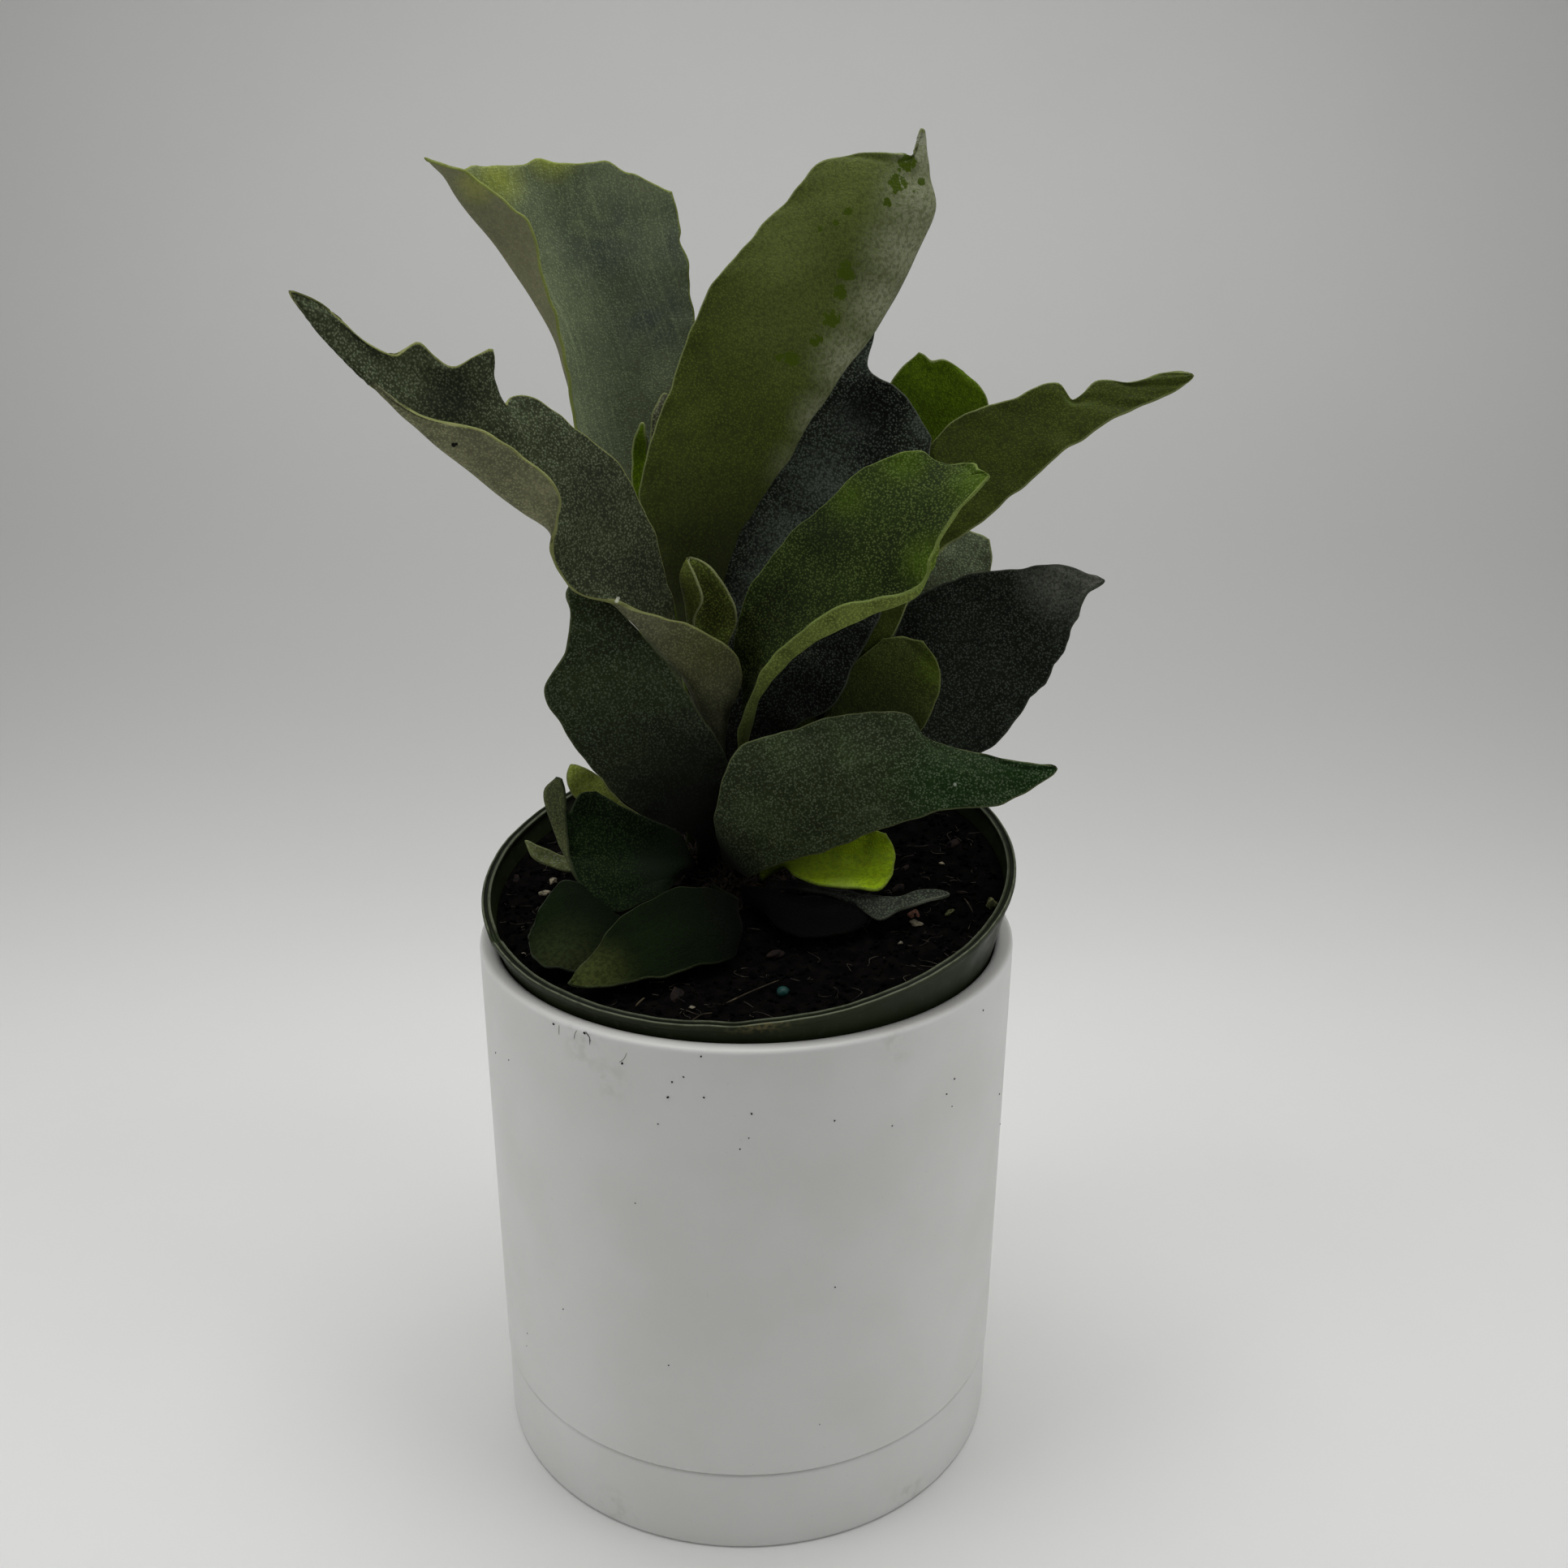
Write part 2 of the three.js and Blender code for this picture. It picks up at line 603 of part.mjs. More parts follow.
      [[-2, -19, 147], [-8, -20, 150], [-16, -21, 150], [-23, -24, 148], [-29, -28, 145], [-32, -33, 142],
        [-36, -39, 139]],
    ],
    tip: [-38, -43, 137],
    across: 6,
    along: 10,
  },
  shield_right_dark: {
    material: dark,
    seat: [5, -14.4, 4, -80],
    rails: [
      [[3, -10, 146], [11, -12, 145], [21, -15, 145], [28, -19, 144]],
      [[3, -14, 145], [11, -19, 144], [21, -23, 144], [29, -22, 144]],
      [[4, -17, 143], [8, -25, 142], [14, -29, 142], [22, -29, 142.5], [27, -25, 143]],
    ],
    across: 5,
    along: 8,
  },
  frond_yellow_small: {
    material: young,
    seat: [9, -8.4, 4, -80],
    rails: [
      [[8, -5, 155], [17, -5, 158], [27, -4, 159], [33, -5, 158]],
      [[9, -6, 152], [18, -8, 153], [27, -8, 153], [35, -7, 154]],
      [[9, -9, 150.5], [11.5, -14, 150.5], [16, -16.8, 149.8], [23, -19, 149.7], [31, -19.5, 150],
        [34, -16, 152]],
    ],
    across: 5,
    along: 8,
  },
  frond_grey_small: {
    material: pale,
    seat: [11, -10.6, 3, -90],
    rails: [
      [[15, -11, 147.5], [25, -16, 147.2], [35, -19, 147.8], [42, -18, 149]],
      [[15, -13, 147], [26, -19, 147], [36, -22, 147]],
      [[15, -14, 147], [24, -17, 146], [28, -23, 145], [31, -26, 145], [35, -24, 146], [41, -22, 148]],
    ],
    tip: [47, -20, 149],
    across: 4,
    along: 9,
  },
  bud_center: {
    material: pale,
    seat: [0.3, 0.9, 3, 20],
    rails: [
      [[-10, 2.4, 193], [-12, 1.5, 206], [-10, 0.5, 213], [-12, 0.5, 219]],
      [[-11, 3, 193], [-13, 3, 205], [-14, 3, 212], [-15, 2, 218]],
      [[-9, 5, 192], [-10, 6, 205], [-10, 6, 211], [-11, 5, 217]],
      [[-6, 5, 192], [-4, 5, 202], [-2, 5, 207], [-5, 5, 215], [-10, 4, 221]],
    ],
    tip: [-13, 3, 222],
    across: 6,
    along: 10,
  },
  bud_back_left: {
    material: young,
    seat: [-8, 3.6, 3, 10],
    rails: [
      [[-15, 12, 186], [-23, 15, 221], [-27, 17, 236], [-27, 17, 243]],
      [[-13, 12, 186], [-22, 15, 221], [-26, 17, 236], [-25, 17, 244]],
      [[-12, 12, 186], [-20, 15, 221], [-24, 17, 236], [-23, 17, 243]],
    ],
    tip: [-24, 14, 251],
    across: 4,
    along: 9,
  },
  bud_back_right: {
    material: pale,
    seat: [-4.5, 6.2, 3, 10],
    rails: [
      [[-12, 14, 185], [-21, 18, 216], [-24, 19, 232], [-23, 19, 244], [-22, 19, 253]],
      [[-11, 14, 185], [-19, 18, 216], [-22, 19, 232], [-20, 19, 244]],
      [[-10, 14, 185], [-18, 18, 216], [-19, 19, 232], [-17, 19, 244], [-17, 19, 253]],
    ],
    tip: [-19, 19, 257],
    across: 4,
    along: 9,
  },
};

addMesh('saucer', makeSaucer(), ceramic);
addMesh('ceramic_pot', makeCeramicPot(), ceramic);
plant.add(nursery);
for (const [name, geometry, material] of [
  ['nursery_pot', makeNurseryPot(), plastic],
  ['soil', makeSoil(), peat],
  ['crown', makeCrown(), scales],
]) {
  const mesh = new THREE.Mesh(geometry, material);
  mesh.name = name;
  nursery.add(mesh);
}
for (const [name, frond] of Object.entries(fronds)) addMesh(name, makeFrond(frond), frond.material);

export default plant;
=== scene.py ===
# A young staghorn fern in a green nursery pot, which leans in a white ceramic pot with a saucer.
# Blender 4.5. Meshes are written in millimetres and scaled to metres as they are made.
import math
import random
import bmesh
import bpy
import numpy as np
from mathutils import Matrix, Vector


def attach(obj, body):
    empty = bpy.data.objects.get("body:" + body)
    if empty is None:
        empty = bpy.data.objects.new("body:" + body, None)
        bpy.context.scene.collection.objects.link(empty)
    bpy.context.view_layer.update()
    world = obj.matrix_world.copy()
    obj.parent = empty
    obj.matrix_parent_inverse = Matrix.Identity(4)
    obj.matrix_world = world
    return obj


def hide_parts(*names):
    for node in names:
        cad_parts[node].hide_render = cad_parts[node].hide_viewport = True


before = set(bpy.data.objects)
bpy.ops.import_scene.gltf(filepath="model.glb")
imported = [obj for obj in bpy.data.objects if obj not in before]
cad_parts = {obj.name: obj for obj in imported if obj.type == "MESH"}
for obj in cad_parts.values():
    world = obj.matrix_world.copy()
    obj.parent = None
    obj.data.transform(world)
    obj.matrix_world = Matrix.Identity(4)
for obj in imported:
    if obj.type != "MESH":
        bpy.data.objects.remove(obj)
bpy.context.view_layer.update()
scene = bpy.context.scene
mm = 0.001


# Helpers

def linear(code):  # "#rrggbb" as seen on a screen, to the linear colour that a socket takes
    parts = [int(code[i:i + 2], 16) / 255 for i in (1, 3, 5)]
    return [v / 12.92 if v <= 0.04045 else ((v + 0.055) / 1.055) ** 2.4 for v in parts] + [1]


def fill(tree, node, inputs):  # inputs: {name or number: a value or a socket}
    for key, value in inputs.items():
        if isinstance(value, bpy.types.NodeSocket):
            tree.links.new(value, node.inputs[key])
        else:
            node.inputs[key].default_value = value


def addNode(tree, kind, inputs=None, **settings):
    node = tree.nodes.new(kind)
    for key, value in settings.items():
        setattr(node, key, value)
    fill(tree, node, inputs or {})
    return node


def made(tree, kind, inputs=None, **settings):  # adds a node and returns its first output
    node = addNode(tree, kind, inputs, **settings)
    return node.outputs[0]


def newMaterial(name):  # returns the material, its tree, its shader and its coordinates in millimetres
    material = bpy.data.materials.new(name)
    material.use_nodes = True
    tree = material.node_tree
    shader = tree.nodes["Principled BSDF"]
    place = addNode(tree, "ShaderNodeTexCoord").outputs["Object"]
    inMm = addNode(tree, "ShaderNodeMapping", {"Vector": place, "Scale": (1000, 1000, 1000)})
    return material, tree, shader, inMm.outputs["Vector"]


def noiseOf(tree, where, size, detail, warp=0.0):  # size: of one blotch, in mm
    inputs = {"Vector": where, "Scale": 1 / size, "Detail": detail, "Roughness": 0.5, "Distortion": warp}
    return addNode(tree, "ShaderNodeTexNoise", inputs).outputs["Fac"]


def rangeOf(tree, value, low, high, to=(0.0, 1.0)):
    inputs = {"Value": value, "From Min": low, "From Max": high, "To Min": to[0], "To Max": to[1]}
    return addNode(tree, "ShaderNodeMapRange", inputs, interpolation_type="SMOOTHSTEP").outputs["Result"]


def patches(tree, where, size, detail, low, high, to=(0.0, 1.0), warp=0.0):  # noise between two levels
    return rangeOf(tree, noiseOf(tree, where, size, detail, warp), low, high, to)


def product(tree, a, b):
    return addNode(tree, "ShaderNodeMath", {0: a, 1: b}, operation="MULTIPLY").outputs["Value"]


def mixed(tree, part, a, b):  # a and b are codes or colour sockets
    colours = [linear(c) if isinstance(c, str) else c for c in (a, b)]
    inputs = {"Factor": part, 6: colours[0], 7: colours[1]}
    return addNode(tree, "ShaderNodeMix", inputs, data_type="RGBA").outputs[2]


def coated(tree, shade, colour, *parts):  # a colour over a shade, as strong as the product of the parts
    amount = parts[0]
    for part in parts[1:]:
        amount = product(tree, amount, part)
    return mixed(tree, amount, shade, colour)


def attributeOf(tree, name):
    return addNode(tree, "ShaderNodeAttribute", attribute_name=name).outputs["Fac"]


def bumpOf(tree, height, depth, after=None):  # depth in mm
    inputs = {"Height": height, "Distance": depth * mm, "Strength": 1.0}
    if after is not None:
        inputs["Normal"] = after
    return addNode(tree, "ShaderNodeBump", inputs).outputs["Normal"]


def makePiece(name, vertices, faces, material, slot=None, nodes=(), body="root", sharp=38):
    mesh = bpy.data.meshes.new(name)
    mesh.from_pydata((np.asarray(vertices, float) * mm).tolist(), [], faces)
    mesh.update()
    mesh.shade_smooth()
    mesh.set_sharp_from_angle(angle=math.radians(sharp))
    mesh.materials.append(material)
    piece = bpy.data.objects.new(name, mesh)
    scene.collection.objects.link(piece)
    if slot:
        settle(piece, nodes, body)
    return piece


def settle(piece, nodes=(), body="root"):
    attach(piece, body)
    if nodes:
        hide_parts(*nodes)


def giveAttribute(piece, name, values):
    layer = piece.data.attributes.new(name, "FLOAT", "POINT")
    layer.data.foreach_set("value", np.asarray(values, np.float32))


def bell(far, width):  # 1 at no distance, falling off to both sides
    return np.exp(-(far / width) ** 2)


def blotches(points, places):  # places: x, y, z, radius, and the strength at the middle if it isn't 1
    amount = np.zeros(len(points))
    for place in places:
        far = np.linalg.norm(points - np.array(place[:3]), axis=1) / place[3]
        part = np.clip(1 - far, 0, 1)
        strength = place[4] if len(place) > 4 else 1
        amount = np.maximum(amount, strength * part * part * (3 - 2 * part))
    return amount


def waves(x, seed, lengths=(17.0, 9.0, 5.3), falls=0.62):  # a smooth random line about zero
    rng = np.random.default_rng(seed)
    total = np.zeros_like(x)
    for k, length in enumerate(lengths):
        stretch = length * rng.uniform(0.85, 1.15)
        total += falls ** k * np.sin(x / stretch * 2 * math.pi + rng.uniform(0, 2 * math.pi))
    return total


def swells(points, seed, length, count=7):  # a smooth random field about zero
    rng = np.random.default_rng(seed)
    total = np.zeros(len(points))
    for _ in range(count):
        way = rng.normal(size=3)
        way *= 2 * math.pi / (length * rng.uniform(0.8, 1.3)) / np.linalg.norm(way)
        total += np.sin(points @ way + rng.uniform(0, 2 * math.pi))
    return total / math.sqrt(count)


# Camera, in the place that the picture was taken from

camera = {"place": (8.8, -354.4, 293.0), "down": 19.372, "roll": 0.3035, "lens": 36.34}


def makeCamera():
    data = bpy.data.cameras.new("camera")
    data.lens = camera["lens"]
    data.sensor_width = 36
    data.clip_start = 0.01
    data.clip_end = 20
    eye = bpy.data.objects.new("camera", data)
    turn = Matrix.Rotation(math.radians(90 - camera["down"]), 4, "X")
    turn = turn @ Matrix.Rotation(math.radians(camera["roll"]), 4, "Z")
    eye.matrix_world = Matrix.Translation(Vector(camera["place"]) * mm) @ turn
    scene.collection.objects.link(eye)
    scene.camera = eye


# Stage: a pale floor that sweeps up behind, under a soft tent of light

stage = {"width": 5000, "front": -1600, "back": 900, "bend": 620, "steps": 18, "top": 2400,
         "colour": "#e8e8e6", "paintedShade": "#cdcdcb", "paintedShadeFrom": (150, 560),
         "wall": "#e7e7e5", "shadeEndsFrom": (600, 900), "cloud": "#c4c4c2", "cloudSize": 140}
lights = {  # place and aim in mm, width and height in mm, power in watts
    "overhead": {"place": (0, 60, 900), "aim": (0, 20, 60), "size": (900, 600), "power": 6.0},
    "left": {"place": (-700, -300, 420), "aim": (0, 0, 120), "size": (500, 600), "power": 1.6},
    "right": {"place": (700, -300, 420), "aim": (0, 0, 120), "size": (500, 600), "power": 1.55},
}
surround = {"colour": "#d0d1d3", "strength": 0.09}


def makeStage():
    material, tree, shader, where = newMaterial("matte pale paper sweep")
    depth = addNode(tree, "ShaderNodeSeparateXYZ", {"Vector": where}).outputs["Y"]
    # painted shade: the paper darkens from 150 to 560 mm back, where the sweep gets less light, and is back
    # to its own colour up the wall from 600 to 900 mm
    shade = mixed(tree, rangeOf(tree, depth, *stage["paintedShadeFrom"]), stage["colour"], stage["paintedShade"])
    shade = mixed(tree, rangeOf(tree, depth, *stage["shadeEndsFrom"]), shade, stage["wall"])
    cloud = patches(tree, where, stage["cloudSize"], 3, 0.3, 0.7, (0.0, 0.05))
    fill(tree, shader, {
        "Base Color": mixed(tree, cloud, shade, stage["cloud"]), "Roughness": 0.9, "Specular IOR Level": 0.2})
    bend, back = stage["bend"], stage["back"]
    profile = [(stage["front"], 0)]
    for step in range(stage["steps"] + 1):
        angle = math.pi / 2 * step / stage["steps"]
        profile.append((back - bend + bend * math.sin(angle), bend - bend * math.cos(angle)))
    profile.append((back, stage["top"]))
    half = stage["width"] / 2
    vertices = [(x, y, z) for y, z in profile for x in (-half, half)]
    faces = [(2 * i, 2 * i + 1, 2 * i + 3, 2 * i + 2) for i in range(len(profile) - 1)]
    makePiece("floor_sweep", vertices, faces, material)


def makeLights():
    for name, lamp in lights.items():
        data = bpy.data.lights.new(name, "AREA")
        data.shape = "RECTANGLE"
        data.size, data.size_y = (s * mm for s in lamp["size"])
        data.energy = lamp["power"]
        place = Vector(lamp["place"]) * mm
        lampObject = bpy.data.objects.new(name, data)
        aim = (Vector(lamp["aim"]) * mm - place).to_track_quat("-Z", "Y")
        lampObject.matrix_world = Matrix.Translation(place) @ aim.to_matrix().to_4x4()
        scene.collection.objects.link(lampObject)
    world = bpy.data.worlds.new("studio")
    world.use_nodes = True
    background = world.node_tree.nodes["Background"]
    background.inputs["Color"].default_value = linear(surround["colour"])
    background.inputs["Strength"].default_value = surround["strength"]
    scene.world = world
    scene.view_settings.view_transform = "Standard"


# Rings and turned shapes

def ring(radius, x=0.0, y=0.0, z=0.0, sides=240):
    angle = np.arange(sides) / sides * 2 * math.pi
    return np.stack([x + radius * np.sin(angle), y - radius * np.cos(angle), np.full(sides, float(z))], 1)


def stackRings(rings, first=None, last=None, closed=False):  # rings from the underside up the outside
    sides = len(rings[0])
    vertices = np.vstack(rings)
    faces = []
    links = list(range(len(rings) - 1)) + ([-1] if closed else [])
    for low in links:
        a = (low % len(rings)) * sides
        b = ((low + 1) % len(rings)) * sides
        for i in range(sides):
            j = (i + 1) % sides
            faces.append((a + i, a + j, b + j, b + i))
    for tip, base, turned in ((first, 0, True), (last, (len(rings) - 1) * sides, False)):
        if tip is None:
            continue
        vertices = np.vstack([vertices, [tip]])
        end = len(vertices) - 1
        for i in range(sides):
            j = (i + 1) % sides
            faces.append((base + j, base + i, end) if turned else (base + i, base + j, end))
    return vertices, faces


def rounded(profile, steps=5, longest=3.0):
    # corners (radius, height, rounding) to a smooth line of (radius, height)
    line = []
    for i, (r, z, size) in enumerate(profile):
        corner = np.array([r, z], float)
        if not 0 < i < len(profile) - 1 or size == 0:
            line.append(corner)
            continue
        ways = [np.array(profile[k][:2], float) - corner for k in (i - 1, i + 1)]
        cut = min(size, *(0.49 * np.linalg.norm(w) for w in ways))
        start, end = (corner + w / np.linalg.norm(w) * cut for w in ways)
        for t in np.linspace(0, 1, steps + 1):
            line.append(start * (1 - t) ** 2 + corner * 2 * t * (1 - t) + end * t ** 2)
    fine = [line[0]]
    for point in line[1:]:  # long straight runs are cut into short ones
        cuts = max(int(np.linalg.norm(point - fine[-1]) / longest), 1)
        fine += [fine[-1] + (point - fine[-1]) * (k + 1) / cuts for k in range(cuts)]
    return fine


# White ceramic pot and saucer

saucer = {"radius": 63.0, "height": 21.3, "flare": 0.15, "wall": 5.0, "floor": 5.0, "edge": 0.9,
          "smudges": [(-30, -55, 4, 9), (40, -49, 3, 8)]}
pot = {
    "radiusLow": 63.4, "radiusTop": 64.5, "top": 132.5, "wall": 4.3, "chamfer": 0.9,
    "foot": 57.6, "floor": 5.2, "drain": 7.0, "gap": 0.3,
    "smudges": [(-34, -56, 129, 9), (-28, -59, 122, 7), (33, -54, 130, 8), (-58, 20, 70, 12)],
}
specks = [  # dirt on the pot: angle round it in degrees, height, size across
    (-128.9, 131.0, 0.62), (-121.0, 131.6, 0.68), (-119.8, 130.2, 0.43), (-154.2, 111.6, 0.43),
    (-146.2, 114.1, 0.37), (-112.8, 126.7, 0.62), (-97.2, 131.0, 0.5), (-102.8, 124.3, 0.5),
    (-100.6, 125.8, 0.43), (-103.7, 120.5, 0.68), (-96.8, 121.3, 0.5), (-105.8, 113.6, 0.37),
    (-87.9, 117.7, 0.56), (-88.4, 111.8, 0.37), (-90.1, 109.1, 0.43), (-72.0, 114.2, 0.5),
    (-59.5, 109.5, 0.43), (-43.0, 114.5, 0.56), (-45.3, 111.7, 0.5), (-43.3, 107.6, 0.37),
    (-18.3, 96.8, 0.5), (-12.7, 84.8, 0.37), (-33.4, 127.2, 0.5), (-111.1, 92.6, 0.37), (-71.1, 71.5, 0.43),
    (-131.0, 55.7, 0.43), (-146.5, 38.5, 0.37), (-147.4, 34.1, 0.31), (-105.0, 51.1, 0.37),
    (-73.8, 34.4, 0.37),
]

scratches = [  # dirt drawn out in lines: (angle, height) points along it and its radius, faint or dark
    ((-127.4, 131.4), (-127.5, 130.2), (-127.6, 128.8), 0.08, "faint"),
    ((-120.8, 132.0), (-119.9, 130.9), (-119.9, 129.1), 0.1, "dark"),
    ((-113.5, 126.7), (-112.4, 127.9), (-111.7, 129.6), 0.07, "faint"),
    ((-122.9, 131.6), (-123.4, 130.6), (-123.7, 129.2), 0.08, "faint"),
]


speckShape = {"flat": 0.45, "proud": 0.12}  # parts of a speck's size: how much is lost and stands out


def potRadius(height):
    low = saucer["height"] + pot["gap"]
    rise = (height - low) / (pot["top"] - low)
    return pot["radiusLow"] + rise * (pot["radiusTop"] - pot["radiusLow"])


def glazeMaterial():
    # matte tin-white stoneware glaze: IOR about 1.5, an even soft shine and hardly any texture
    material, tree, shader, where = newMaterial("matte white glaze")
    shade = mixed(tree, patches(tree, where, 28, 3, 0.3, 0.7), "#dadad7", "#e0e0de")
    shade = coated(tree, shade, "#a9a79f", patches(tree, where, 0.9, 2, 0.70, 0.78), 0.18)
    smudge = patches(tree, where, 3.5, 4, 0.42, 0.7)
    shade = coated(tree, shade, "#8d8a80", attributeOf(tree, "smudge"), smudge, 0.3)
    skin = bumpOf(tree, noiseOf(tree, where, 1.7, 2), 0.012)
    fill(tree, shader, {
        # the top of the rim is darkened, a painted shade under the lip and leaves above it
        "Base Color": coated(tree, shade, "#aeada8", attributeOf(tree, "top"), 0.6), "IOR": 1.5,
        "Roughness": patches(tree, where, 9, 3, 0.3, 0.7, (0.44, 0.54)),
        "Normal": bumpOf(tree, noiseOf(tree, where, 16, 2), 0.05, skin)})
    return material


def makeCeramics(glaze):
    s, p = saucer, pot
    inner = s["radius"] - s["wall"]
    axis = 0.01
    dish = rounded([
        (axis, 0, 0), (s["radius"], 0, 1.2), (s["radius"] + s["flare"], s["height"], s["edge"]),
        (inner, s["height"], 1.0), (inner, s["floor"], 2.2), (axis, s["floor"], 0),
    ])
    rings = [ring(r, z=z) for r, z in dish]
    vertices, faces = stackRings(rings[1:-1], (0, 0, 0), (0, 0, s["floor"]))
    piece = makePiece("saucer_glazed", vertices, faces, glaze, "white_ceramic", ["saucer"])
    giveAttribute(piece, "smudge", blotches(vertices, s["smudges"]))
    giveAttribute(piece, "top", np.zeros(len(vertices)))
    shoulder = s["height"] + p["gap"]
    foot = s["floor"] + p["gap"]
    floor = foot + p["floor"]
    insideTop, insideLow, insideFoot = (p[key] - p["wall"] for key in ("radiusTop", "radiusLow", "foot"))
    bevel = 0.4
    body = rounded([
        (p["drain"], foot + bevel, 0), (p["drain"] + bevel, foot, 0), (p["foot"], foot, 1.6),
        (p["foot"], shoulder, 0.8), (p["radiusLow"], shoulder, 0.7), (p["radiusTop"], p["top"], 1.3),
        (insideTop, p["top"], 1.6), (insideLow, shoulder + 6, 2.5), (insideFoot, shoulder + 2, 1.5),
        (insideFoot, floor, 2.4), (p["drain"] + bevel, floor, 0.3), (p["drain"], floor - bevel, 0),
    ])
    vertices, faces = stackRings([ring(r, z=z) for r, z in body], closed=True)
    piece = makePiece("ceramic_pot_glazed", vertices, faces, glaze, "white_ceramic", ["ceramic_pot"])
    giveAttribute(piece, "smudge", blotches(vertices, p["smudges"]))
    # painted shade: the top 0.6 mm of the pot's rim is darkened
    shaded = 0.6
    giveAttribute(piece, "top", np.clip((vertices[:, 2] - p["top"] + shaded) / shaded, 0, 1))
    print("ceramic pot and saucer made")


def makeSpecks(material):
    vertices, faces = [], []
    chance = random.Random(11)
    for angle, height, size in specks:
        out = Vector((math.cos(math.radians(angle)), math.sin(math.radians(angle)), 0))
        ball = bmesh.new()
        bmesh.ops.create_icosphere(ball, subdivisions=2, radius=size / 2)
        turn = Matrix.Rotation(chance.uniform(0, 6.28), 3, out)
        for vertex in ball.verts:
            flat = vertex.co - out * vertex.co.dot(out) * speckShape["flat"]
            flat.z *= chance.uniform(0.6, 0.8)
            vertex.co = turn @ (flat * chance.uniform(0.75, 1.15))
        start = len(vertices)
        middle = out * (potRadius(height) + size * speckShape["proud"]) + Vector((0, 0, height))
        vertices += [tuple(vertex.co + middle) for vertex in ball.verts]
        faces += [tuple(start + v.index for v in face.verts) for face in ball.faces]
        ball.free()
    makePiece("pot_specks", vertices, faces, material, "peat")
    faint = litterMaterial("dried splash of dust", "#6f6d65", "#86847b", 1.0)
    for kind, cover in (("dark", material), ("faint", faint)):
        vertices, faces = [], []
        for *points, radius, tone in scratches:
            if tone == kind:
                line = []
                for angle, height in points:
                    out, turn = potRadius(height), math.radians(angle)
                    line.append((out * math.cos(turn), out * math.sin(turn), height))
                addTube(vertices, faces, spline(line, np.linspace(0, 1, 12)), radius)
        makePiece("pot_splash_" + kind, vertices, faces, cover, "peat")


# Nursery pot: its own frame has the lip in the plane of X and Y, around Z

nursery = {
    "lipCentre": (0.2, 2.2, 147.1), "leanBack": 9.2, "leanRight": -3.75,
    "lipRadius": 64.5, "neck": 0.5, "lipDepth": 1.8, "height": 103.0, "wall": 0.9,
    "baseRadius": 46.0, "baseShift": (-3.3, -9.7),
    "nick": (-66.0, 1.1, 2.2), "kink": (-1.3, 0.5, 2.6),  # degrees from the front, depth, degrees wide
    "bead": [  # the lip's section: how far in from its outside, height and rounding
        (0.5, -1.8, 0), (0, -1.4, 0.35), (0, -0.1, 0.45), (0.5, 0.08, 0.3), (0.85, -0.55, 0.25),
        (1.25, -0.55, 0.25), (1.55, 0.05, 0.3), (2.2, -0.1, 0.4), (2.2, -1.2, 0.4), (1.4, -1.8, 0),
    ],
    "bottom": [(2, 0), (1.2, 0.1), (0.5, 0.5), (0.1, 1.2), (0, 2)],  # the base's edge: how far in, height
    # lines that run round the lip, how far in and width: pale lines on its edges, which are scuffs and
    # painted highlights, and a painted shade along its groove
    "ridge": (0.3, 0.2), "inner": (2.05, 0.16), "flange": (1.75, 0.3), "grooveShade": (1.05, 0.35),
    "unevenLip": 0.09, "stain": (4, 5),
}
nurseryFrame = (Matrix.Translation(nursery["lipCentre"])
                @ Matrix.Rotation(math.radians(nursery["leanBack"]), 4, "X")
                @ Matrix.Rotation(math.radians(nursery["leanRight"]), 4, "Y"))
toWorld = np.array(nurseryFrame)
toLocal = np.array(nurseryFrame.inverted())


def moved(points, matrix):
    return np.asarray(points) @ matrix[:3, :3].T + matrix[:3, 3]


def lipRing(inset):
    return ring(nursery["lipRadius"] - nursery["neck"] - inset, z=-nursery["lipDepth"])


def rimRing(inset):
    radius = pot["radiusTop"] - pot["wall"] - pot["gap"] - inset
    return moved(ring(radius, z=pot["top"] - pot["chamfer"]), toLocal)


def baseRing(inset, rise):
    return ring(nursery["baseRadius"] - inset, *nursery["baseShift"], rise - nursery["height"])


def between(a, b, parts):
    return [a + (b - a) * part for part in parts]


def plasticMaterial():
    # thin blow-moulded polypropylene: IOR about 1.49, a dull shine, pale lines along the lip's edges that are
    # scuffs and painted highlights, and a painted shade in the lip's groove
    material, tree, shader, where = newMaterial("dull green polypropylene")
    shade = mixed(tree, patches(tree, where, 22, 3, 0.3, 0.7), "#1b210f", "#242c16")
    shade = coated(tree, shade, "#3d4036", patches(tree, where, 1.6, 4, 0.56, 0.74, warp=0.6), 0.3)
    scuffAndHighlight = patches(tree, where, 1.8, 4, 0.3, 0.55, (0.5, 1))
    shade = coated(tree, shade, "#6f7560", attributeOf(tree, "worn"), scuffAndHighlight, 0.8)
    # a dark line along the lip's groove, a painted shade
    shade = coated(tree, shade, "#060906", attributeOf(tree, "grooveShade"), 0.85)
    stain = patches(tree, where, 1.2, 3, 0.4, 0.6)
    fine = bumpOf(tree, noiseOf(tree, where, 0.5, 2), 0.02)
    fill(tree, shader, {
        "Base Color": coated(tree, shade, "#6d6440", attributeOf(tree, "stain"), stain, 0.6),
        "Roughness": patches(tree, where, 6, 3, 0.3, 0.7, (0.38, 0.55)), "IOR": 1.49,
        "Normal": bumpOf(tree, noiseOf(tree, where, 12, 2), 0.12, fine), "Specular IOR Level": 0.14})
    return material


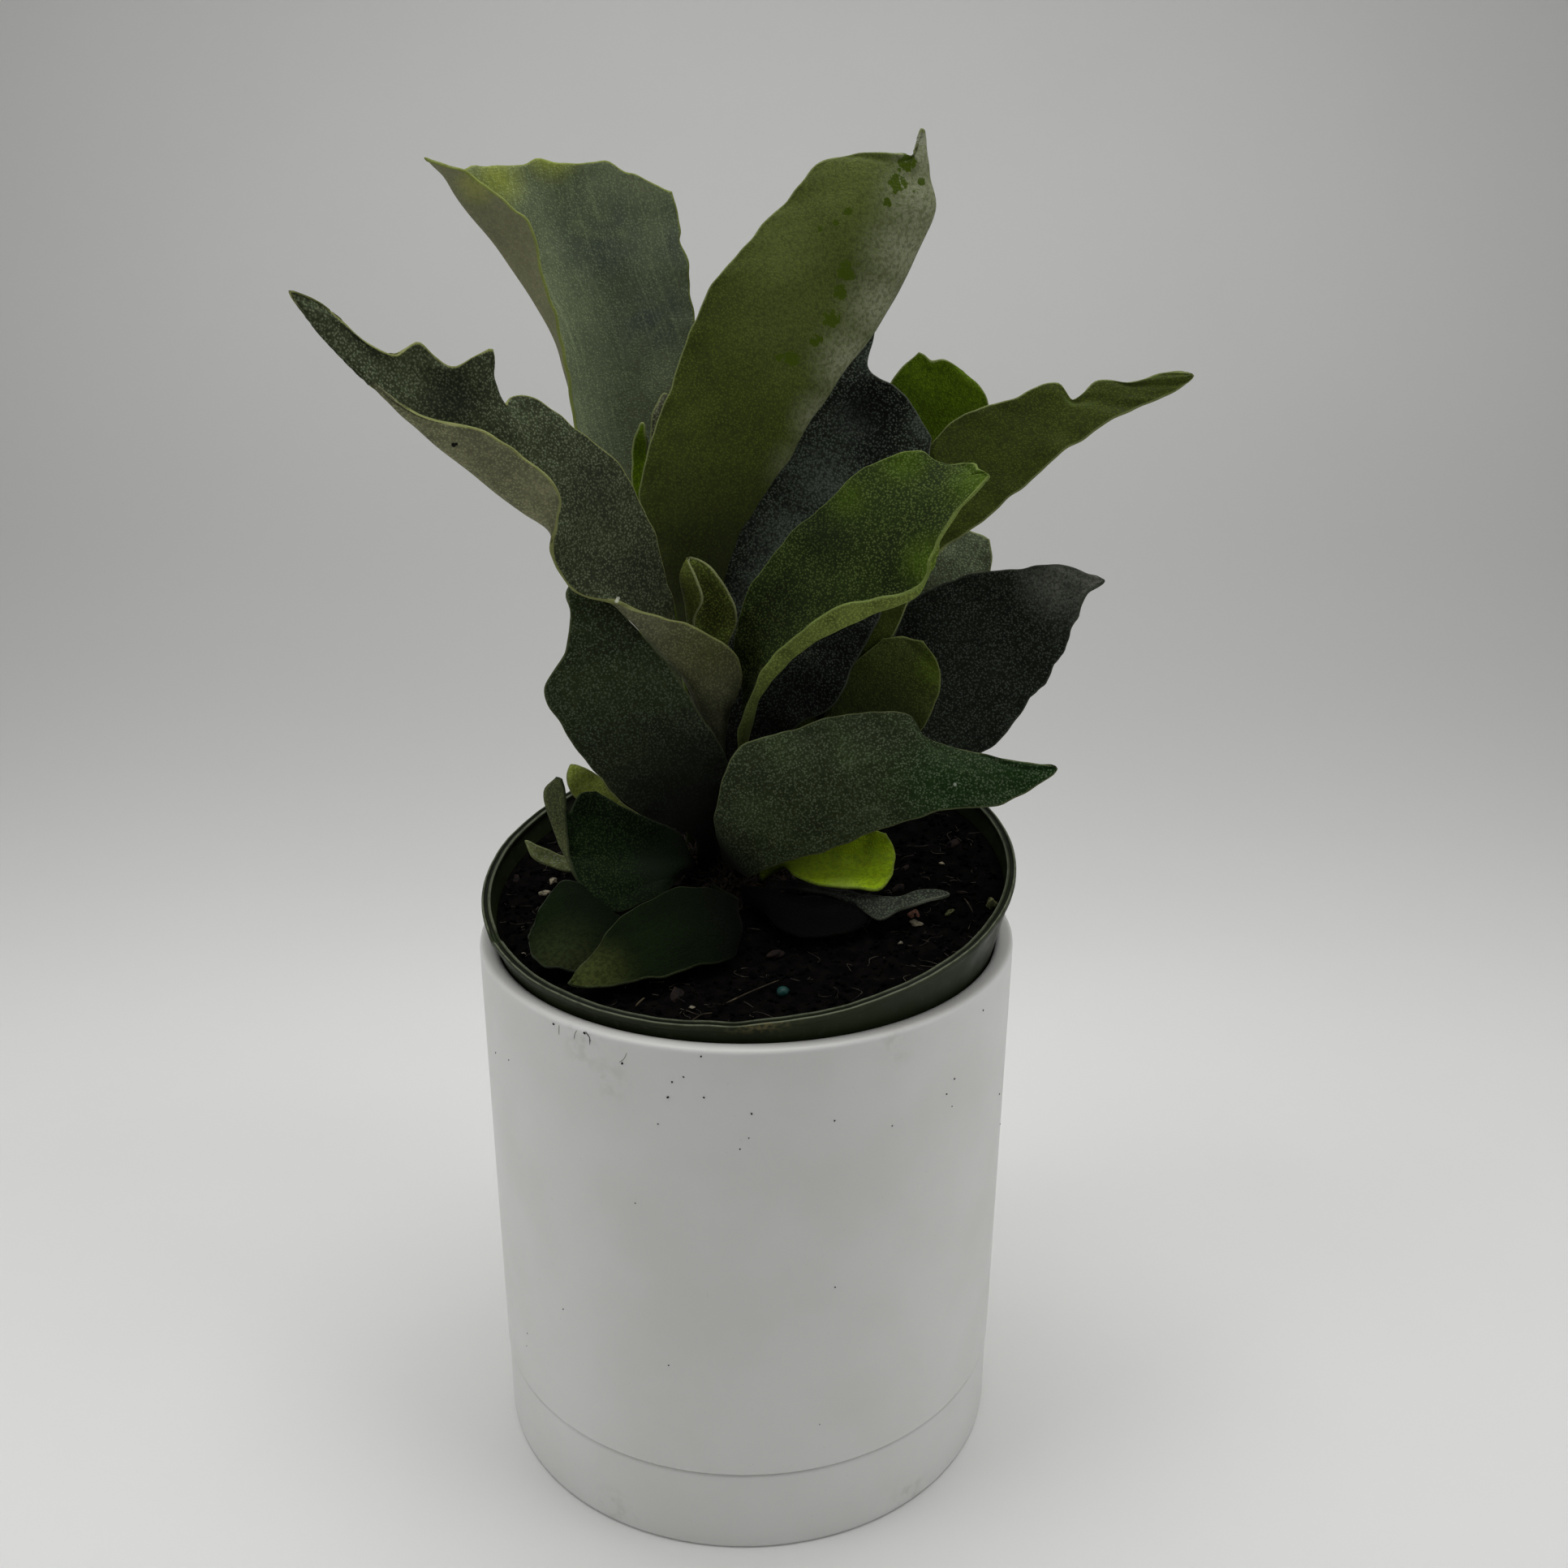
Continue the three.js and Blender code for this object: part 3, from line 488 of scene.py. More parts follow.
def makeNurseryPot(material):
    n = nursery
    lip, wall, shift = n["lipRadius"], n["wall"], n["baseShift"]
    bead = rounded([(lip - inset, z, size) for inset, z, size in n["bead"]], 4)
    rings = [baseRing(inset, rise) for inset, rise in n["bottom"]]
    rings += between(rings[-1], rimRing(0), np.linspace(0, 1, 9)[1:])
    rings += between(rimRing(0), lipRing(0), np.linspace(0, 1, 7)[1:])
    rings += [ring(r, z=z) for r, z in bead[1:-1]]
    rings += between(lipRing(wall), rimRing(wall), np.linspace(0, 1, 7))
    rings += between(rimRing(wall), baseRing(wall, 2.4), np.linspace(0, 1, 5)[1:])
    rings += [baseRing(wall + 2, wall)]
    vertices, faces = stackRings(rings, (*shift, -n["height"]), (*shift, wall - n["height"]))
    # the lip is a little uneven, nicked at the left and kinked at the front
    angle = np.degrees(np.arctan2(vertices[:, 0], -vertices[:, 1]))
    nearLip = np.clip((vertices[:, 2] + 3) / 2, 0, 1)
    uneven = waves(np.radians(angle) * lip, 3, (2 * math.pi * lip / 9, 17.0, 8.0))
    vertices[:, 2] += nearLip * n["unevenLip"] * uneven
    for place, depth, width in (n["nick"], n["kink"]):
        vertices[:, 2] -= nearLip * depth * bell(angle - place, width)
    outside = np.hypot(vertices[:, 0], vertices[:, 1])
    onTop = np.clip((vertices[:, 2] + 0.55) / 0.4, 0, 1)
    lines = ("ridge", "inner", "flange", "grooveShade")
    litAndRubbed = {key: bell(outside - lip + n[key][0], n[key][1]) for key in lines}
    ridge = litAndRubbed["ridge"] * np.where(np.abs(angle) < 115, 1, 0.5)
    flange = litAndRubbed["flange"] * 0.55 * np.clip((75 - angle) / 30, 0.2, 1)
    piece = makePiece(
        "nursery_pot_moulded", moved(vertices, toWorld), faces, material, "green_plastic", ["nursery_pot"])
    # pale lines on the lip's ridge, inner edge and flange: scuffs and painted highlights
    giveAttribute(piece, "worn", onTop * np.maximum(np.maximum(ridge, litAndRubbed["inner"]), flange))
    giveAttribute(piece, "stain", nearLip * bell(angle - n["stain"][0], n["stain"][1]) * (outside > lip - 1))
    # where the painted shade of the lip's groove lies
    giveAttribute(piece, "grooveShade", litAndRubbed["grooveShade"] * (vertices[:, 2] > -0.8))
    print("nursery pot made")


# Potting soil

soil = {"depth": 4.6, "play": 0.1, "foot": 2.8, "rings": 52, "crumbHeight": 0.5,
        "swells": [(0.75, 5, 5.5), (0.45, 6, 2.7), (0.25, 8, 1.7)]}  # height, seed, length


def soilLevel(x, y):
    return 0.6 * np.sin(x * 0.13 + 1) * np.cos(y * 0.11) + 0.35 * np.sin(x * 0.31 - y * 0.27) - soil["depth"]


def peatMaterial():
    # damp peat, matt, with lighter fibres and dust; its colour is darkened to nearly black, a painted shade
    # inside the pot
    material, tree, shader, where = newMaterial("damp peat")
    shade = mixed(tree, patches(tree, where, 3.2, 5, 0.35, 0.7, warp=0.3), "#030202", "#0a0807")
    strands = patches(tree, where, 0.5, 3, 0.66, 0.76, warp=2.5)
    fill(tree, shader, {
        "Base Color": coated(tree, shade, "#4a4238", strands, 0.3), "Roughness": 0.9,
        "Specular IOR Level": 0.03, "Normal": bumpOf(tree, noiseOf(tree, where, 0.8, 4), 0.35)})
    return material


def makeSoil(material):
    n = nursery
    inset = n["wall"] + pot["gap"] + soil["play"]
    rim = rimRing(inset)
    lip = lipRing(inset)
    part = np.maximum((-soil["depth"] - 1 - rim[:, 2]) / (lip[:, 2] - rim[:, 2]), 0.1)[:, None]
    edge = rim + (lip - rim) * part
    hole = ring(crown["radius"] + pot["gap"], *crown["offset"], 0)
    top = []
    for part in np.linspace(0.012, 1, soil["rings"]) ** 1.05:
        row = edge + (hole - edge) * part
        settled = min(part / 0.05, 1)
        relief = sum(height * swells(row, seed, length) for height, seed, length in soil["swells"])
        relief = relief * soil["crumbHeight"] * min((1 - part) / 0.04 + 0.2, 1)
        level = soilLevel(row[:, 0], row[:, 1]) + relief
        row[:, 2] = edge[:, 2] * (1 - settled) + level * settled
        top.append(row)
    deep = hole.copy()
    deep[:, 2] = -soil["depth"] - crown["depth"]
    shift = n["baseShift"]
    base = n["wall"] + pot["gap"]
    rings = [baseRing(inset + 2, base), baseRing(inset, soil["foot"]), rim, edge, *top, deep]
    vertices, faces = stackRings(rings, (*shift, base - n["height"]), (*crown["offset"], deep[0, 2]))
    makePiece("potting_soil", moved(vertices, toWorld), faces, material, "peat", ["soil"])
    # the open surface by itself carries what is scattered on it
    surface, faces = stackRings(top[2:-1])
    return makePiece("soil_surface", moved(surface, toWorld), faces, material)


# Geometry Nodes for what lies about on the soil

def newTree(name, sizes):  # sizes: {input name: default}
    tree = bpy.data.node_groups.new(name, "GeometryNodeTree")
    tree.interface.new_socket(name="Geometry", in_out="INPUT", socket_type="NodeSocketGeometry")
    tree.interface.new_socket(name="Geometry", in_out="OUTPUT", socket_type="NodeSocketGeometry")
    for label, value in sizes.items():
        kind = "NodeSocketInt" if isinstance(value, int) else "NodeSocketFloat"
        tree.interface.new_socket(name=label, in_out="INPUT", socket_type=kind).default_value = value
    return tree, addNode(tree, "NodeGroupInput").outputs


def endTree(tree, geometry, material):
    whole = made(tree, "GeometryNodeRealizeInstances", {0: geometry})
    finished = made(tree, "GeometryNodeSetMaterial", {"Geometry": whole, "Material": material})
    addNode(tree, "NodeGroupOutput", {0: finished})


def grow(tree, ground, name, values, smooth=True):
    # runs a tree on the ground mesh and keeps its result
    modifier = ground.modifiers.new(name, "NODES")
    modifier.node_group = tree
    for item in tree.interface.items_tree:
        if item.in_out == "INPUT" and item.name in values:
            modifier[item.identifier] = values[item.name]
    ready = ground.evaluated_get(bpy.context.evaluated_depsgraph_get())
    mesh = bpy.data.meshes.new_from_object(ready)
    ground.modifiers.remove(modifier)
    mesh.name = name
    if smooth:
        mesh.shade_smooth()
    piece = bpy.data.objects.new(name, mesh)
    scene.collection.objects.link(piece)
    settle(piece)
    print(name, "has", len(mesh.polygons), "faces")
    return piece


def randomVector(tree, low, high, seed):
    inputs = {0: low, 1: high, "Seed": seed}
    return made(tree, "FunctionNodeRandomValue", inputs, data_type="FLOAT_VECTOR")


def spotsOn(tree, ports):  # where things fall on the ground
    return addNode(tree, "GeometryNodeDistributePointsOnFaces", {
        "Mesh": ports["Geometry"], "Density": ports["Per Square Metre"], "Seed": ports["Seed"]}).outputs


def placed(tree, spots, thing, turn, size):
    return made(tree, "GeometryNodeInstanceOnPoints", {
        "Points": spots["Points"], "Instance": thing, "Rotation": turn, "Scale": size})


def unsettled(tree, shape, waviness, middle, reach):  # pushes points about by noise that is centred first
    noise = addNode(tree, "ShaderNodeTexNoise", {"Scale": waviness, "Detail": 1.0}).outputs["Color"]
    centred = made(tree, "ShaderNodeVectorMath", {0: noise, 1: middle}, operation="SUBTRACT")
    push = made(tree, "ShaderNodeVectorMath", {0: centred, 1: reach}, operation="MULTIPLY")
    return made(tree, "GeometryNodeSetPosition", {"Geometry": shape, "Offset": push})


def crumbTree(name, material, defaults, facets=1):  # rough lumps strewn over the ground
    tree, ports = newTree(name, defaults)
    spots, seed = spotsOn(tree, ports), ports["Seed"]
    lump = made(tree, "GeometryNodeMeshIcoSphere", {"Radius": ports["Size"], "Subdivisions": facets})
    rough = unsettled(tree, lump, ports["Lumpiness"], (0.5, 0.5, 0.5), ports["Roughness"])
    turn = randomVector(tree, (0, 0, 0), (6.28, 6.28, 6.28), seed)
    size = randomVector(tree, (0.35, 0.35, 0.3), (1.3, 1.1, 0.9), seed)
    endTree(tree, placed(tree, spots, rough, turn, size), material)
    return tree


def fibreTree(name, material, defaults):  # thin wavy strands that lie on the ground
    tree, ports = newTree(name, defaults)
    spots, seed = spotsOn(tree, ports), ports["Seed"]
    ends = {"Start": (-0.5, 0, 0), "End": (0.5, 0, 0)}
    strand = made(tree, "GeometryNodeCurvePrimitiveLine", ends)
    strand = made(tree, "GeometryNodeResampleCurve", {"Curve": strand, "Count": 10})
    lengths = {2: ports["Shortest"], 3: ports["Longest"], "Seed": seed}
    length = addNode(tree, "FunctionNodeRandomValue", lengths, data_type="FLOAT").outputs[1]
    turn = randomVector(tree, (-0.15, -0.2, 0), (0.15, 0.2, 6.28), seed)
    strands = placed(tree, spots, strand, turn, length)
    strands = made(tree, "GeometryNodeRealizeInstances", {0: strands})
    wavy = unsettled(tree, strands, ports["Waviness"], (0.5, 0.5, 0.35), (0.009, 0.009, 0.0022))
    circle = {"Resolution": 4, "Radius": ports["Radius"]}
    section = made(tree, "GeometryNodeCurvePrimitiveCircle", circle)
    sweep = {"Curve": wavy, "Profile Curve": section, "Fill Caps": True}
    endTree(tree, made(tree, "GeometryNodeCurveToMesh", sweep), material)
    return tree


def scaleTree(name, material, defaults):  # pointed papery scales that stand off a dome
    tree, ports = newTree(name, defaults)
    spots, seed = spotsOn(tree, ports), ports["Seed"]
    leaf = made(tree, "GeometryNodeMeshCone", {
        "Vertices": 5, "Radius Top": 0.00008, "Radius Bottom": ports["Width"], "Depth": ports["Length"]})
    flat = made(tree, "GeometryNodeTransform", {"Geometry": leaf, "Scale": (1.0, 0.28, 1.0)})
    lean = randomVector(tree, (0.5, -0.5, 0), (1.25, 0.5, 6.28), seed)
    ways = {"Rotation": spots["Rotation"], "Rotate By": lean}
    turn = made(tree, "FunctionNodeRotateRotation", ways, rotation_space="LOCAL")
    size = randomVector(tree, (0.6, 0.6, 0.6), (1.2, 1.2, 1.3), seed)
    endTree(tree, placed(tree, spots, flat, turn, size), material)
    return tree


strewn = {  # what each tree's inputs are set to, lengths in metres
    "soil_crumbs": {"Per Square Metre": 150000.0, "Seed": 3, "Size": 0.00105, "Lumpiness": 900.0,
                    "Roughness": 0.0011},
    "soil_bark": {"Per Square Metre": 1300.0, "Seed": 8, "Size": 0.0019, "Lumpiness": 420.0,
                  "Roughness": 0.0030},
    "soil_perlite": {"Per Square Metre": 300.0, "Seed": 21, "Size": 0.0005, "Lumpiness": 700.0,
                     "Roughness": 0.0012},
    "soil_fibres": {"Per Square Metre": 30000.0, "Seed": 5, "Shortest": 0.001, "Longest": 0.0055,
                    "Waviness": 260.0, "Radius": 0.00007},
    "crown_scales_papery": {"Per Square Metre": 620000.0, "Seed": 4, "Width": 0.0006, "Length": 0.0032},
}


def strew(ground, name, makeTree, material, slot="peat", smooth=True, **more):
    tree = makeTree(name.replace("_", " "), material, strewn[name], **more)
    grow(tree, ground, name, strewn[name], smooth)


def litterMaterial(name, dark, light, size, rough=0.85, depth=0.15):
    material, tree, shader, where = newMaterial(name)
    fill(tree, shader, {
        "Base Color": mixed(tree, patches(tree, where, size, 4, 0.35, 0.68, warp=0.5), dark, light),
        "Roughness": rough, "Specular IOR Level": 0.2,
        "Normal": bumpOf(tree, noiseOf(tree, where, size * 0.6, 3), depth)})
    return material


bits = {  # on the soil, in the pot's own frame: x, y, length, width, height, turn in degrees
    "perlite": [
        (38.9, -23.1, 3.1, 1.7, 1.4, -20), (51.6, -30.6, 0.8, 0.7, 0.6, 0), (35, -31.7, 1.1, 0.9, 0.8, 40),
        (47, 1.1, 1.4, 0.8, 0.8, -30), (-48.5, 2.3, 2.3, 1.6, 1.3, 60), (-50.1, -2.4, 2.9, 1.4, 1.2, 5),
        (-51.6, -27.2, 1, 0.9, 0.8, 0), (-11.5, -50.9, 1.1, 1, 0.9, 0)],
    "prill": [(8.4, -48.1, 2.8, 2.5, 2.2, 0)],
    "moss": [
        (57.2, -16.9, 2.8, 2.4, 2.4, 30), (53.6, -27.5, 2.0, 1.6, 1.4, 70), (47, -19.5, 2.6, 1.1, 1.0, 35)],
    "pine": [(38.6, -19.4, 3.9, 2.6, 1.6, 80)],
    "bark": [(6.5, -31.9, 4.5, 2.2, 1.4, 20), (50.8, -11.5, 3, 0.9, 0.8, -15), (44, -12, 3.4, 1.6, 1.2, 50)],
}
straws = [  # points (x, y, lift) of a strand on the soil, and its radius
    ((-4.6, -51.8, 0), (1.3, -48.7, 0.3), (7.5, -44.1, 0), 0.17),
    ((50.9, -14.9, 0.2), (51.7, -17.6, 0.4), (52.5, -20.3, 0.1), 0.16),
    ((-11.5, -56.4, 0), (-9, -54.9, 0.4), (-6.4, -54.5, 0), 0.13),
    ((-23.7, -50.2, 0.1), (-22.6, -49.4, 0.8), (-21.7, -48.9, 1.2), 0.18),
]


def lumps(places, seed, rough):  # rounded grains that sink a third of their height into the soil
    vertices, faces = [], []
    ball = bmesh.new()
    bmesh.ops.create_icosphere(ball, subdivisions=3, radius=0.5)
    grain = np.array([vertex.co for vertex in ball.verts])
    sides = [[v.index for v in face.verts] for face in ball.faces]
    ball.free()
    for number, (x, y, length, width, height, turn) in enumerate(places):
        bulge = 1 + rough * swells(grain, seed + 10 * number, 0.8)
        shape = grain * bulge[:, None] * (length, width, height)
        c, s = math.cos(math.radians(turn)), math.sin(math.radians(turn))
        shape = shape @ np.array([[c, s, 0], [-s, c, 0], [0, 0, 1]])
        faces += [[len(vertices) + v for v in side] for side in sides]
        vertices += (shape + (x, y, soilLevel(x, y) + 0.2 + height / 6)).tolist()
    return vertices, faces


def addTube(vertices, faces, line, radius, sides=6):  # a round strand that tapers at both ends
    along = unit(np.gradient(line, axis=0))
    side = unit(np.cross(along, (0.3, 0.2, 1.0)))
    other = np.cross(side, along)
    start = len(vertices)
    for k, point in enumerate(line):
        size = radius * min(1, 0.25 + min(k, len(line) - 1 - k) * 0.35)
        for i in range(sides):
            turn = 2 * math.pi * i / sides
            vertices.append((point + size * (side[k] * math.cos(turn) + other[k] * math.sin(turn))).tolist())
    for k in range(len(line) - 1):
        a = start + k * sides
        for i in range(sides):
            j = (i + 1) % sides
            faces.append([a + i, a + j, a + sides + j, a + sides + i])
    faces.append([start + i for i in reversed(range(sides))])
    faces.append([start + (len(line) - 1) * sides + i for i in range(sides)])


def makeLitter(ground, peat):
    bark = litterMaterial("composted pine bark", "#0a0605", "#1e120c", 1.6)
    white = litterMaterial("expanded perlite", "#5d594d", "#a39a80", 0.9)
    root = litterMaterial("dry root fibre", "#15110e", "#4d463c", 3.5)
    strew(ground, "soil_crumbs", crumbTree, peat, smooth=False)
    strew(ground, "soil_bark", crumbTree, bark, smooth=False, facets=2)
    strew(ground, "soil_perlite", crumbTree, white, facets=2)
    strew(ground, "soil_fibres", fibreTree, root)
    prill = litterMaterial("resin coat of a fertiliser prill", "#0b2b28", "#153f3a", 2.5, 0.5, 0.05)
    moss = litterMaterial("dry sphagnum", "#33361f", "#6f7048", 0.8)
    pink = litterMaterial("fresh pine bark", "#42281e", "#6f4a3a", 2.2)
    kinds = {"perlite": white, "prill": prill, "moss": moss, "pine": pink, "bark": bark}
    for number, (kind, material) in enumerate(kinds.items()):
        vertices, faces = lumps(bits[kind], 40 + number, 0.05 if kind == "prill" else 0.28)
        makePiece("soil_" + kind + "_named", moved(vertices, toWorld), faces, material, "peat")
    straw = litterMaterial("straw", "#28231a", "#544b38", 3.0)
    vertices, faces = [], []
    for *points, radius in straws:
        points = [(x, y, soilLevel(x, y) + 0.7 + lift) for x, y, lift in points]
        addTube(vertices, faces, spline(points, np.linspace(0, 1, 16)), radius)
    makePiece("soil_straw", moved(vertices, toWorld), faces, straw, "peat")


# Crown: a short rhizome under papery scales

crown = {"offset": (-6.0, 3.5), "radius": 17.5, "rise": 8.0, "depth": 6.0, "sides": 120, "rows": 26,
         "tip": 0.8, "relief": 0.35, "reliefSize": 3.0}


def crownHeight(distance):
    return crown["rise"] * (1 - (distance / crown["radius"]) ** 2)


def makeCrown(material):
    c = crown
    x, y = c["offset"]
    ground, bottom = -soil["depth"], pot["gap"] - c["depth"] - soil["depth"]
    dome = []
    for radius in np.linspace(c["radius"], c["tip"], c["rows"]):
        row = ring(radius, x, y, crownHeight(radius) + ground, c["sides"])
        relief = c["relief"] * (0.5 + 0.5 * swells(row, 31, c["reliefSize"]))
        row[:, 2] -= relief * min((c["radius"] - radius) / 2, 1)
        dome.append(row)
    rings = [ring(c["radius"], x, y, height, c["sides"]) for height in (bottom, ground)] + dome[1:]
    top = (x, y, crownHeight(0) + ground - 0.2)
    vertices, faces = stackRings(rings, (x, y, bottom), top)
    makePiece("crown_rhizome", moved(vertices, toWorld), faces, material, "crown_scales", ["crown"])
    vertices, faces = stackRings(dome, last=top)
    dressed = makePiece("crown_surface", moved(vertices, toWorld), faces, material)
    strew(dressed, "crown_scales_papery", scaleTree, material, "crown_scales")
    bpy.data.objects.remove(dressed)


